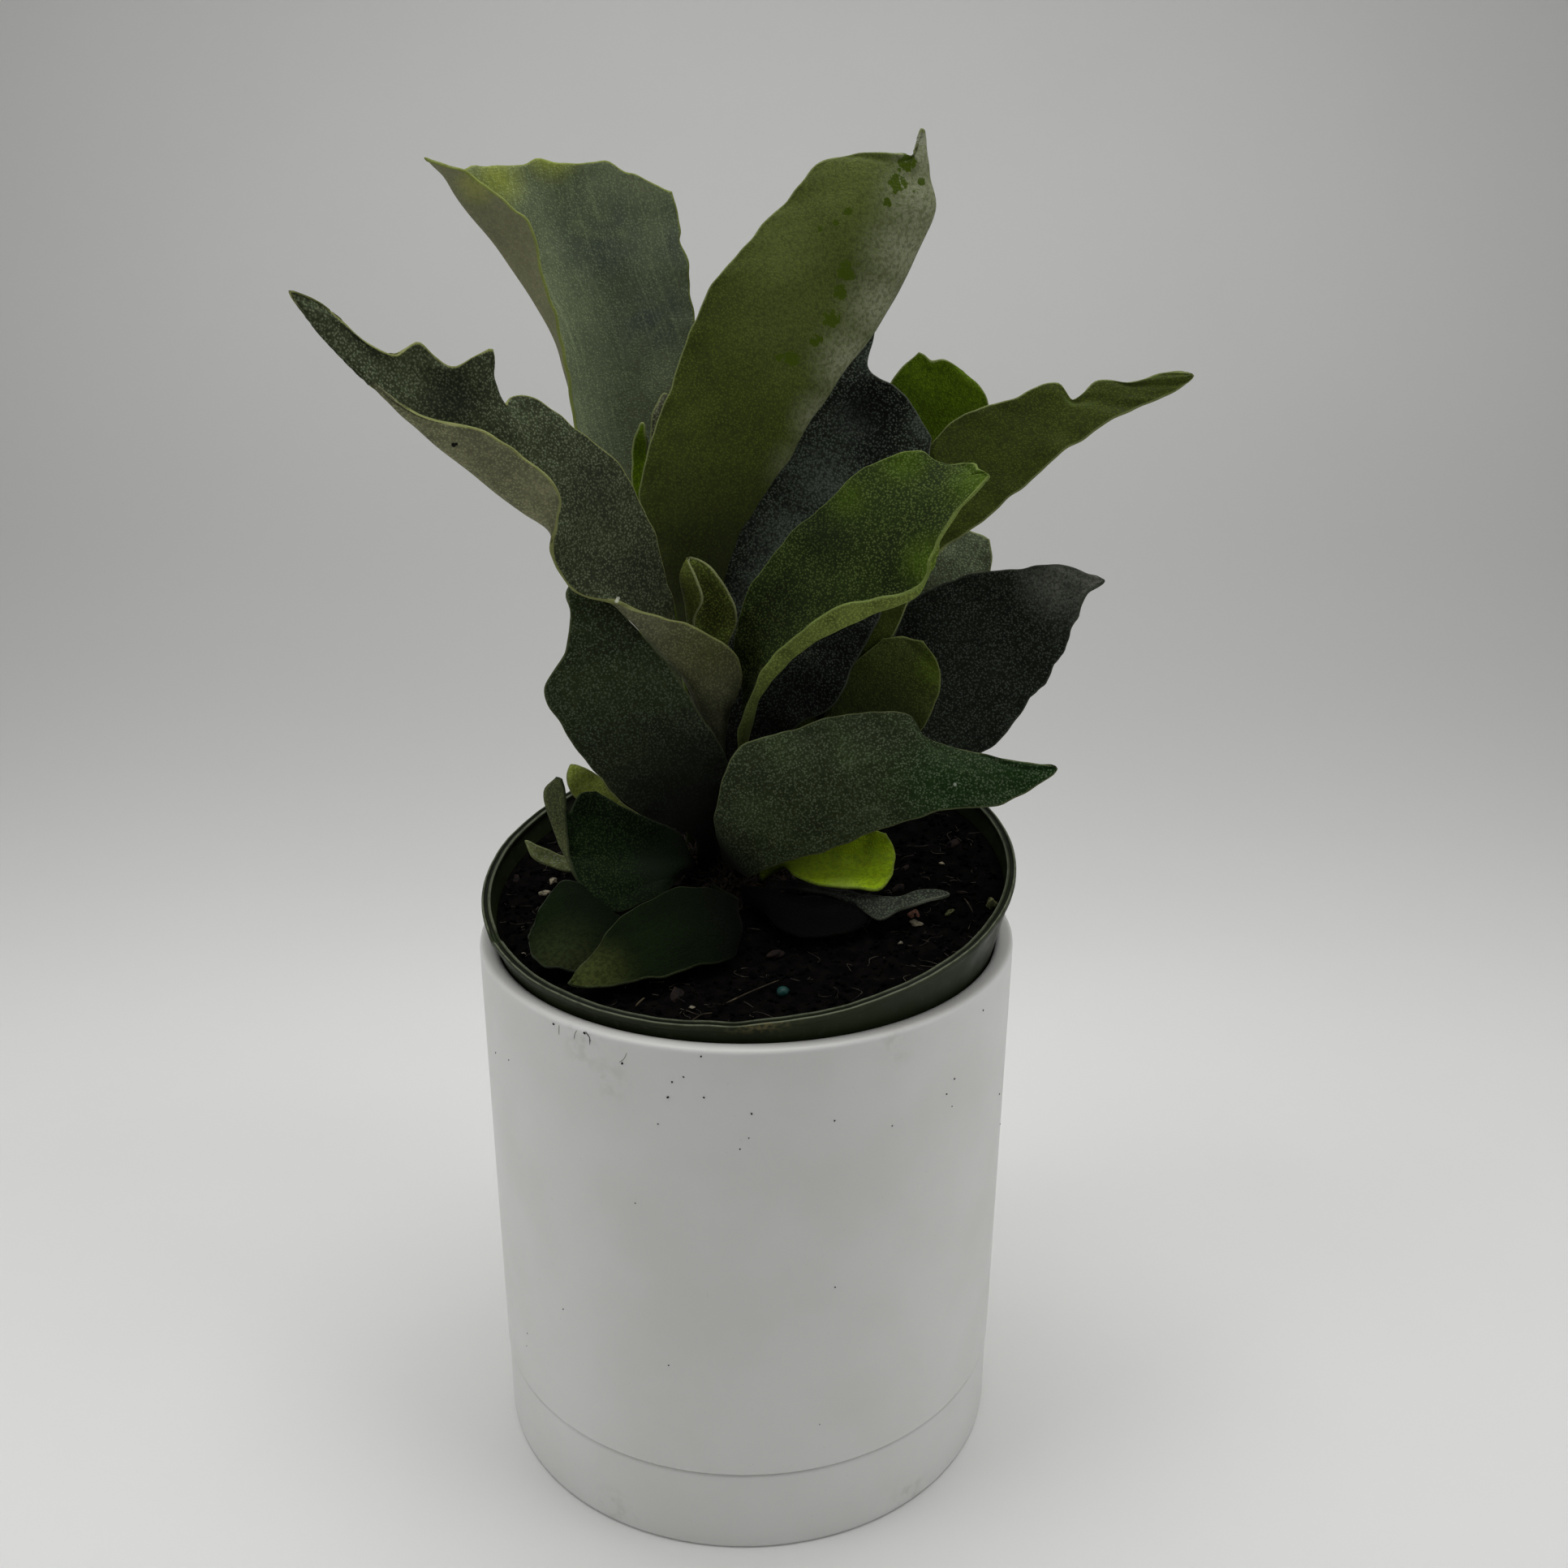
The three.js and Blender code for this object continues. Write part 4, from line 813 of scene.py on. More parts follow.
# Fronds. A blade is lofted over rails that run from its seat on the crown to its far margin, and a tip where
# it has one. seat: x and y from the crown's centre, width, turn in degrees. The first rail is the left margin
# for someone who looks at its upper face with the tip up.
fronds = {
    "frond_front_right": {"slot": "frond_dark", "seat": [3, -8.4, 6, -30], "tip": [70, -18, 179], "rails": [
        [[-7, -10, 165], [-2, -10, 180], [11, -9, 185], [26, -9, 189], [37, -10, 188.5], [40.5, -11, 184],
         [45, -12.5, 182.5], [54, -15, 181], [63, -17, 180]],
        [[-3, -12, 159], [8, -14, 171], [24, -15, 178], [42, -17, 178], [59, -18, 177]],
        [[1, -12, 150], [8, -15, 154], [18, -17, 158], [33, -19, 165], [44, -20, 169], [58, -20, 171],
         [66, -19, 175]],
    ]},
    "frond_front_left": {"slot": "frond_dark", "seat": [-3, -6.4, 6, 15], "tip": [-36, -6, 221], "rails": [
        [[-13, -7, 158], [-23, -9, 163], [-33, -11, 173], [-41, -12, 185], [-45, -13, 195], [-40, -12, 204],
         [-39, -10, 211], [-40, -8, 216]],
        [[-9, -6, 159], [-16, -8, 172], [-25, -9, 188], [-30, -9, 202], [-35, -8, 212]],
        [[-5, -6, 164], [-4, -6, 175], [-9, -6, 185], [-17, -6, 198], [-26, -6, 209], [-31, -6, 215]],
    ]},
    "frond_left_forked": {"slot": "frond_dark", "seat": [-2, -2.4, 4, 75], "tip": [-85, -42, 281], "rails": [
        [[-4, 0, 186], [-1, -2, 194], [-2, -3, 200], [-8, -5, 206], [-19, -9, 211], [-29, -13, 215],
         [-37, -16, 218], [-41, -19, 226], [-39, -23, 234], [-38, -25, 241], [-43, -27, 247],
         [-52, -30, 254], [-61, -31, 256], [-70, -33, 261], [-79, -37, 271]],
        [[-7, -2, 185], [-11, -3, 192], [-17, -5, 200], [-24, -9, 209], [-31, -12, 217], [-37, -15, 223],
         [-40, -19, 232], [-47, -21, 237], [-59, -26, 248], [-69, -32, 259], [-79, -38, 272]],
        [[-10, -1, 185], [-14, -1, 194], [-18, -1, 204], [-23, -4, 213], [-29, -8, 227], [-36, -11, 242],
         [-43, -14, 247], [-53, -20, 257], [-62, -24, 261], [-71, -30, 267], [-80, -38, 277]],
        [[-12, 1, 187], [-15, 2, 200], [-17, 2, 211], [-21, -1, 229], [-28, -4, 244], [-38, -7, 253],
         [-44, -10, 258], [-50, -13, 259], [-52, -15, 261], [-52, -18, 268], [-55, -20, 268],
         [-59, -22, 266], [-62, -24, 268], [-65, -26, 271], [-69, -29, 269], [-73, -32, 271],
         [-81, -38, 279]],
    ]},
    "frond_front_center": {"slot": "frond_green", "seat": [3, -2.4, 4, -45], "tip": [52, -13, 243],
        "rails": [
        [[-1, 4, 187], [-3, 5, 201], [0, 4, 213], [7, 3, 224], [19, 1, 236], [28, -1, 244], [38, -3, 247],
         [42, -5, 245], [49, -9, 245]],
        [[1, 2, 185], [6, 0, 207], [18, -4, 223], [34, -8, 235], [44, -11, 240]],
        [[-0.6, -3.8, 182], [1.4, -5.6, 188.5], [6.2, -7.2, 197], [17, -10, 207], [28, -13, 213],
         [37, -15, 217.5], [40.5, -16, 224], [42.5, -15.5, 232], [48.5, -14.5, 239]],
        [[-2, -4, 182], [0, -6, 189], [4, -8, 199], [12, -11, 208], [20.5, -13.6, 214.5], [31, -16, 217.5],
         [38.5, -17, 220], [40.5, -17, 228], [44, -16, 234], [49.5, -15, 240]],
    ]},
    "frond_back_center": {"slot": "frond_pale", "seat": [0, 4.6, 5, 180], "tip": [38.5, 21, 313.5],
        "rails": [
        [[-8, 10, 187], [-7, 13, 210], [-2, 16, 226], [8, 19, 241], [18, 22, 258], [26, 26, 267],
         [33, 31, 277], [38, 34, 288], [40, 29, 300], [39.5, 23, 304.5]],
        [[-10, 9, 187], [-8, 11, 208], [-3, 13, 225], [7, 14, 241], [17.5, 15, 258], [28, 17, 273],
         [35.5, 19, 286], [41, 20, 297], [39.5, 20.5, 305]],
        [[-11, 8, 187], [-11, 9, 211], [-9, 11, 233], [-1, 12, 255], [7, 13, 273], [18, 14, 290],
         [28, 16, 302], [35, 18.5, 304.5]],
        [[-14, 9, 187], [-17, 11, 208], [-22, 12, 223], [-25, 13, 235], [-22, 14, 247], [-17, 15, 260],
         [-9, 16, 279], [3, 17, 293], [8, 17, 298], [16, 18, 306], [24, 18, 308], [34, 19, 308.5],
         [36.5, 19.5, 308]],
    ]},
    "frond_back_left": {"slot": "frond_green", "seat": [-6, 9.5, 5, 10], "rails": [
        [[-21, 15, 185], [-30.5, 17, 214], [-37, 17, 238], [-40, 14, 254], [-41, 12, 267], [-44, 10, 280],
         [-47, 9, 293], [-54, 9, 300], [-61, 9, 304], [-69, 10, 307]],
        [[-18, 16, 185], [-28, 19, 216], [-35, 19, 241], [-40, 18, 257], [-43, 17, 268], [-50, 16, 281],
         [-57, 15, 291], [-63, 14, 299], [-66, 14, 305]],
        [[-15, 17, 185], [-22, 21, 216], [-28, 23, 240], [-33, 25, 263], [-40, 26, 284], [-51, 26, 306]],
        [[-13, 17, 185], [-17, 22, 216], [-22, 24, 240], [-23, 26, 263], [-25, 27, 284], [-32, 27, 306]],
        [[-11, 17, 185], [-13, 22, 216], [-14, 24, 242], [-12, 26, 268], [-14, 26, 284], [-17, 26, 300]],
    ]},
    "frond_dark_center": {"slot": "frond_dark", "seat": [6, 5.6, 5, -40], "rails": [
        [[-9, 12, 186], [-10, 17, 205], [-5, 22, 225], [8, 26, 248], [21, 29, 263], [29.5, 31, 271]],
        [[-3, 10, 185], [5, 14, 208], [16, 19, 228], [23, 23, 246], [29, 28, 261]],
        [[3, 9, 181], [15, 12, 200], [25, 17, 219], [32, 21.5, 239], [37, 25.5, 255.5]],
        [[10, 7, 179], [20, 8, 185], [25, 10, 194], [32, 13, 208], [38, 17, 227], [42, 20, 237],
         [43, 23, 246.5]],
    ]},
    "frond_right_upper": {"slot": "frond_pale", "seat": [7.8, 8.4, 2.4, -40], "tip": [99.5, 8.5, 262.5],
        "rails": [
        [[15, 10.5, 174], [27, 15, 191], [34, 16.5, 199], [38.5, 17, 209], [44.5, 16.5, 220],
         [52.5, 15, 226.5], [63, 13.5, 236], [72.5, 12, 245], [81.5, 10.5, 251.5], [88.5, 9.5, 255.5],
         [96.5, 8.5, 259]],
        [[12, 11, 176], [24, 15.5, 193], [30, 17, 204], [36.5, 19, 218.5], [43, 19.5, 231], [57, 18, 243],
         [69, 15.5, 251.5], [82.5, 12, 256], [92.5, 9.5, 259]],
        [[9.5, 12, 178], [20, 16, 193.5], [26, 18.5, 205.5], [32.5, 21.5, 220.5], [38, 23.5, 233],
         [43, 24.5, 245], [48, 23, 250.5], [56, 21, 254.5], [62, 19.5, 256.5], [71, 17.5, 260],
         [74, 16.5, 256], [79.5, 15, 260.5], [86.5, 12.5, 260.5], [93.5, 10.5, 263]],
    ]},
    "frond_right_small_back": {"slot": "frond_young", "seat": [6, 10.6, 4, 0], "rails": [
        [[7, 20, 184], [23, 27, 215], [32, 32, 241], [33, 34, 257], [40, 35, 265]],
        [[10, 20, 183], [29, 27, 213], [40, 32, 238], [44, 34, 253], [46, 35, 264]],
        [[13, 20, 182], [35, 27, 211], [49, 31, 230], [57, 33, 244], [57, 34, 255], [51, 35, 261]],
    ]},
    "frond_right_dark": {"slot": "frond_dark", "seat": [10, 5.6, 4, -50], "tip": [85, 18, 214], "rails": [
        [[14, 14, 173], [25, 19, 186], [35, 22, 198], [40, 23, 208], [53, 23, 214], [65, 22, 216],
         [75, 21, 217]],
        [[16, 13, 170], [30, 17, 179], [47, 20, 190], [64, 20, 201], [76, 19, 209]],
        [[18, 12, 168], [34, 15, 167], [48, 16, 167], [59, 16, 172], [69, 16, 185], [76, 16, 197],
         [79, 17, 206], [81, 17, 211]],
    ]},
    "frond_right_mid_back": {"slot": "frond_pale", "seat": [10, 10.6, 4, -30], "rails": [
        [[18, 20, 178], [32, 27, 194], [41, 31, 210], [47, 33, 218], [54, 34, 223]],
        [[20, 20, 175], [36, 26, 193], [48, 30, 207], [57, 34, 222]],
        [[22, 20, 173], [41, 26, 189], [54, 29, 202], [60, 32, 215], [59, 33, 221]],
    ]},
    "frond_right_small_round": {"slot": "frond_green", "seat": [12, 1.5, 4, -40], "rails": [
        [[13, 7, 167], [18, 10, 181], [23, 12, 192], [32, 15, 200]],
        [[16, 6, 165], [28, 9, 178], [36, 12, 190], [37, 14, 201]],
        [[20, 5, 164], [36, 8, 173], [45, 10, 185], [46, 12, 193], [42, 14, 200]],
    ]},
    "frond_lower_left": {"slot": "frond_dark", "seat": [-8, -5.4, 4, 60], "rails": [
        [[-19.6, -15, 146], [-24.4, -15.5, 144], [-29.4, -16, 141.8], [-33.5, -15, 143.4],
         [-38.8, -12.8, 148], [-41.2, -10, 153], [-42, -8, 158], [-42, -7, 165], [-42, -7, 169],
         [-43, -7, 172]],
        [[-20, -13.4, 147.6], [-24.5, -13.7, 145.8], [-29, -13.8, 144.2], [-33.5, -12.8, 146],
         [-38.8, -11, 150], [-42.2, -8.5, 153.5], [-45, -7, 159], [-46.5, -6, 164], [-47, -5, 168],
         [-44, -6, 172]],
        [[-18, -10, 149], [-29, -8, 151], [-37, -6, 156], [-42, -4, 162]],
        [[-14, -7, 150], [-23, -4, 154], [-33, -2, 161], [-40, -1, 166]],
        [[-13, -5, 152], [-16, -3, 157], [-24, -1, 160], [-32, 0, 164], [-36, 1, 166]],
    ]},
    "frond_lower_left_back": {"slot": "frond_young", "seat": [-9, -0.4, 3, 50], "tip": [-43, 9, 170],
        "rails": [
        [[-30, 5, 153], [-39, 7, 159], [-44, 8, 165]],
        [[-28, 6, 155], [-37, 8, 162]],
        [[-25, 7, 157], [-33, 8, 163], [-36, 9, 167], [-39, 9, 169]],
    ]},
    "frond_left_small_curl": {"slot": "frond_pale", "seat": [-11, -4.4, 3, 80], "tip": [-54, 3, 152],
        "rails": [
        [[-31, -2, 145], [-42, 1, 145], [-48, 2, 146], [-52, 2, 148]],
        [[-32, 0, 146], [-42, 2, 147], [-48, 3, 148], [-52, 3, 150]],
        [[-31, 1, 147], [-42, 3, 148], [-48, 3, 150], [-52, 3, 152]],
    ]},
    "shield_left": {"slot": "frond_pale", "seat": [-10, -10.4, 4, 70], "tip": [-49, -27, 140], "rails": [
        [[-25, -33, 139], [-32, -36, 137], [-41, -36, 137], [-46, -34, 137]],
        [[-21, -28, 141], [-31, -29, 142], [-41, -29, 142]],
        [[-22, -24, 142.4], [-28.6, -22, 143.4], [-33.6, -19.5, 146.2], [-38.1, -16.5, 149.3],
         [-41.2, -15.5, 150], [-44, -17, 149], [-47, -21, 145]],
    ]},
    "shield_front": {"slot": "frond_green", "seat": [-2, -14.4, 5, 100], "tip": [-38, -43, 137], "rails": [
        [[-2, -35, 140], [-9, -38, 139], [-17, -41, 138], [-24, -42, 137], [-30, -43, 136]],
        [[-1, -29, 144], [-10, -31, 145], [-21, -34, 143], [-30, -38, 140]],
        [[-2, -19, 147], [-8, -20, 150], [-16, -21, 150], [-23, -24, 148], [-29, -28, 145], [-32, -33, 142],
         [-36, -39, 139]],
    ]},
    "shield_right_dark": {"slot": "frond_dark", "seat": [5, -14.4, 4, -80], "rails": [
        [[3, -10, 146], [11, -12, 145], [21, -15, 145], [28, -19, 144]],
        [[3, -14, 145], [11, -19, 144], [21, -23, 144], [29, -22, 144]],
        [[4, -17, 143], [8, -25, 142], [14, -29, 142], [22, -29, 142.5], [27, -25, 143]],
    ]},
    "frond_yellow_small": {"slot": "frond_young", "seat": [9, -8.4, 4, -80], "rails": [
        [[8, -5, 155], [17, -5, 158], [27, -4, 159], [33, -5, 158]],
        [[9, -6, 152], [18, -8, 153], [27, -8, 153], [35, -7, 154]],
        [[9, -9, 150.5], [11.5, -14, 150.5], [16, -16.8, 149.8], [23, -19, 149.7], [31, -19.5, 150],
         [34, -16, 152]],
    ]},
    "frond_grey_small": {"slot": "frond_pale", "seat": [11, -10.6, 3, -90], "tip": [47, -20, 149], "rails": [
        [[15, -11, 147.5], [25, -16, 147.2], [35, -19, 147.8], [42, -18, 149]],
        [[15, -13, 147], [26, -19, 147], [36, -22, 147]],
        [[15, -14, 147], [24, -17, 146], [28, -23, 145], [31, -26, 145], [35, -24, 146], [41, -22, 148]],
    ]},
    "bud_center": {"slot": "frond_pale", "seat": [0.3, 0.9, 3, 20], "tip": [-13, 3, 222], "rails": [
        [[-10, 2.4, 193], [-12, 1.5, 206], [-10, 0.5, 213], [-12, 0.5, 219]],
        [[-11, 3, 193], [-13, 3, 205], [-14, 3, 212], [-15, 2, 218]],
        [[-9, 5, 192], [-10, 6, 205], [-10, 6, 211], [-11, 5, 217]],
        [[-6, 5, 192], [-4, 5, 202], [-2, 5, 207], [-5, 5, 215], [-10, 4, 221]],
    ]},
    "bud_back_left": {"slot": "frond_young", "seat": [-8, 3.6, 3, 10], "tip": [-24, 14, 251], "rails": [
        [[-15, 12, 186], [-23, 15, 221], [-27, 17, 236], [-27, 17, 243]],
        [[-13, 12, 186], [-22, 15, 221], [-26, 17, 236], [-25, 17, 244]],
        [[-12, 12, 186], [-20, 15, 221], [-24, 17, 236], [-23, 17, 243]],
    ]},
    "bud_back_right": {"slot": "frond_pale", "seat": [-4.5, 6.2, 3, 10], "tip": [-19, 19, 257], "rails": [
        [[-12, 14, 185], [-21, 18, 216], [-24, 19, 232], [-23, 19, 244], [-22, 19, 253]],
        [[-11, 14, 185], [-19, 18, 216], [-22, 19, 232], [-20, 19, 244]],
        [[-10, 14, 185], [-18, 18, 216], [-19, 19, 232], [-17, 19, 244], [-17, 19, 253]],
    ]},
}
seat = {"gap": 0.36, "clear": 0.033}  # under a blade's seat at the crown's top, and what each mm out adds
blade = {
    "middle": 1.3, "edge": 0.8, "tipWidth": 1.4, "tipRound": 1.6, "spacing": 0.9, "margin": 3.0,
    "nearEnd": (0.12, 0.35, 0.7), "nearSide": (0.1, 0.3, 0.65),  # extra rows close to the margins
    "bumpReach": 3.0, "stem": 25, "curl": 0.22, "curlWidth": 5, "soft": 0.16, "softSize": 11.0,
}


def spline(points, places):  # centripetal Catmull-Rom line through points, at places from 0 to 1
    points = np.asarray(points, float)
    last = len(points) - 1
    whole = np.vstack([2 * points[0] - points[1], points, 2 * points[-1] - points[-2]])
    spot = np.clip(places, 0, 1) * last
    cell = np.minimum(spot.astype(int), last - 1)
    part = (spot - cell)[:, None]
    a, b, c, d = (whole[cell + k] for k in range(4))
    s0, s1, s2 = (np.sqrt(np.linalg.norm(q - p, axis=1))[:, None] + 1e-9 for p, q in ((a, b), (b, c), (c, d)))
    leave = ((b - a) / s0 - (c - a) / (s0 + s1) + (c - b) / s1) * s1
    reach = ((c - b) / s1 - (d - b) / (s1 + s2) + (d - c) / s2) * s1
    curve = (2 * b - 2 * c + leave + reach) * part + (3 * c - 3 * b - 2 * leave - reach)
    return curve * part ** 2 + leave * part + b


def evenSpots(points, parts):  # where a line is cut to give these parts of its length
    steps = np.linspace(0, 1, 201)
    line = spline(points, steps)
    run = np.concatenate([[0], np.cumsum(np.linalg.norm(np.diff(line, axis=0), axis=1))])
    return np.interp(np.asarray(parts) * run[-1], run, steps), run[-1]


def seatRow(place, count):
    x, y, width, turn = place
    row = []
    for i in range(count):
        shift = width * (i / (count - 1) - 0.5)
        across = x + shift * math.cos(math.radians(turn))
        deep = y + shift * math.sin(math.radians(turn))
        out = math.hypot(across, deep)
        height = crownHeight(out) - soil["depth"] + seat["gap"] + seat["clear"] * out
        row.append((crown["offset"][0] + across, crown["offset"][1] + deep, height))
    return moved(row, toWorld)


def unit(v):
    return v / np.maximum(np.linalg.norm(v, axis=-1, keepdims=True), 1e-9)


def slopes(grid, axis):
    return unit(np.gradient(grid, axis=axis))


def bladeGrid(frond):  # the blade's middle surface as rows of points, and how far each is from the margins
    rails = frond["rails"]
    lines = [[start, *rail] for start, rail in zip(seatRow(frond["seat"], len(rails)), rails)]
    if "tip" in frond:
        side = unit(np.array(lines[-1][-1], float) - np.array(lines[0][-1], float))
        for i, line in enumerate(lines):
            line.append(np.array(frond["tip"]) + side * blade["tipWidth"] * (i / (len(lines) - 1) - 0.5))
    longest = max(evenSpots(line, [1])[1] for line in lines)
    near = np.array(blade["nearEnd"]) / longest
    count = max(int(longest / blade["spacing"]), 12)
    along = np.concatenate([np.linspace(0, 1, count)[:-1], 1 - near[::-1], [1]])
    along = np.unique(np.round(along, 5))
    rows = np.stack([spline(line, evenSpots(line, along)[0]) for line in lines], 1)
    widest = np.linalg.norm(np.diff(rows, axis=1), axis=2).sum(1).max()
    near = np.array(blade["nearSide"]) / widest
    count = max(int(widest / blade["spacing"]), 8)
    across = np.concatenate([[0], near, np.linspace(0, 1, count)[1:-1], 1 - near, [1]])
    across = np.unique(np.round(across, 5))
    grid = np.stack([spline(row, across) for row in rows])
    return grid, across, along


def runs(grid, axis):  # lengths along one way of the grid
    steps = np.linalg.norm(np.diff(grid, axis=axis), axis=2)
    return np.insert(np.cumsum(steps, axis=axis), 0, 0, axis=axis)


def roundEdge(far, size):  # from 0 at an edge to 1 where a rounding of this size ends
    return np.sqrt(np.clip(1 - (1 - np.clip(far / size, 0, 1)) ** 2, 0, 1))


def makeFrond(name, frond, leaf, material, seed):
    grid, across, along = bladeGrid(frond)
    sideways, onwards = slopes(grid, 1), slopes(grid, 0)
    left, up = runs(grid, 1), runs(grid, 0)
    right, ahead = left[:, -1:] - left, up[-1:] - up
    edge = np.minimum(np.minimum(left, right), ahead)
    # a rounded tip, then a margin that isn't quite even, and bumps and notches at named places
    if "tip" in frond:
        squeeze = np.maximum(roundEdge(ahead, blade["tipRound"]), 0.1)[..., None]
        middle = grid.mean(axis=1, keepdims=True)
        grid = middle + (grid - middle) * squeeze
    fade, reach, uneven = blade["margin"], blade["bumpReach"], leaf["uneven"]
    free = np.clip(up / blade["stem"], 0, 1)
    push = sideways * (bell(right, fade) * uneven * waves(up, seed) * free)[..., None]
    push -= sideways * (bell(left, fade) * uneven * waves(up, seed + 1) * free)[..., None]
    if "tip" not in frond:
        push += onwards * (bell(ahead, fade) * uneven * waves(left, seed + 2))[..., None]
    outwards = unit(sideways * (bell(right, reach) - bell(left, reach))[..., None]
                    + onwards * bell(ahead, reach)[..., None])
    for *place, amount, width in leaf.get("bumps", []):
        far = np.linalg.norm(grid - np.array(place), axis=2)
        push += outwards * (amount * bell(far, width))[..., None]
    grid = grid + push
    normal = unit(np.cross(slopes(grid, 1), slopes(grid, 0)))
    curl = blade["curl"] * bell(edge, blade["curlWidth"])
    curl = curl * waves(up + left * 0.15, seed + 3, (15.0, 8.0)) * free
    soft = swells(grid.reshape(-1, 3), seed, blade["softSize"]).reshape(edge.shape)
    grid = grid + normal * (curl + blade["soft"] * soft * np.clip(edge / 4, 0, 1))[..., None]
    fromMiddle = np.abs(2 * across - 1)[None, :]
    thick = blade["middle"] + (blade["edge"] - blade["middle"]) * np.maximum(fromMiddle ** 2, along[:, None])
    thick = thick * roundEdge(edge, thick / 2)
    thick[0] = thick[1]
    upper, lower = (grid + side * normal * (thick / 2)[..., None] for side in (1, -1))
    rows, cols = edge.shape
    number = np.arange(rows * cols).reshape(rows, cols)
    inner = np.zeros((rows, cols), bool)
    inner[:-1, 1:-1] = True
    below = number.copy()
    below[inner] = rows * cols + np.arange(inner.sum())
    vertices = np.vstack([upper.reshape(-1, 3), lower[inner]])
    a, b, c, d = number[:-1, :-1], number[:-1, 1:], number[1:, 1:], number[1:, :-1]
    faces = np.stack([a, b, c, d], -1).reshape(-1, 4).tolist()
    a, b, c, d = below[:-1, :-1], below[:-1, 1:], below[1:, 1:], below[1:, :-1]
    faces += np.stack([a, d, c, b], -1).reshape(-1, 4).tolist()
    for i in range(cols - 1):  # the seat's own end
        wall = [number[0, i + 1], number[0, i], below[0, i], below[0, i + 1]]
        wall = [int(v) for k, v in enumerate(wall) if v != wall[k - 1]]
        if len(wall) > 2:
            faces.append(tuple(wall))
    piece = makePiece(name + "_blade", vertices, faces, material, frond["slot"], [name], sharp=180)

    def both(values):  # for the upper face, then for the inner part of the underside
        return np.concatenate([values.reshape(-1), values[inner]])

    isUpper = np.concatenate([np.where(edge.reshape(-1) < 0.02, 0.5, 1), np.zeros(inner.sum())])
    for label, values in (("upper", isUpper), ("edge", both(edge)), ("fromSeat", both(up))):
        giveAttribute(piece, label, values)
    # young also holds painted light through a blade from behind, bruise also painted shade and shadow, deep
    # is painted shade
    for tint in ("youngAndBacklit", "bruiseAndShade", "worn", "pale", "deep"):
        giveAttribute(piece, tint, blotches(vertices, leaf.get(tint, [])))
    u, v = both(left - left[:, -1:] / 2), both(up)
    layer = piece.data.uv_layers.new(name="blade")
    corner = np.empty(len(piece.data.loops), int)
    piece.data.loops.foreach_get("vertex_index", corner)
    layer.data.foreach_set("uv", np.stack([u[corner], v[corner]], 1).astype(np.float32).reshape(-1))
    return piece


# Tones of the living fern: old blades are dark green, and nearly black green where the shade they lie in is
# painted into them; new ones yellow green, and the downy backs of the blades grey.
greens = {"night": "#050805", "ivy": "#0d1906", "bottle": "#10210a", "slate": "#20251c", "ash": "#3b4036",
          "darkMoss": "#28360f", "moss": "#303a20", "darkOlive": "#38421a", "olive": "#3e4819",
          "greyOlive": "#404830", "grass": "#50680a", "stem": "#56602a", "lichen": "#707e3c",
          "khaki": "#75765a", "sage": "#707a5e", "paleSage": "#b8c67e", "paleLime": "#c9df5c",
          "lime": "#bee614", "newTip": "#12300a", "newEdge": "#48600c", "newYellow": "#b0bb30",
          "greyFelt": "#5c655a", "downyOlive": "#4c5236"}
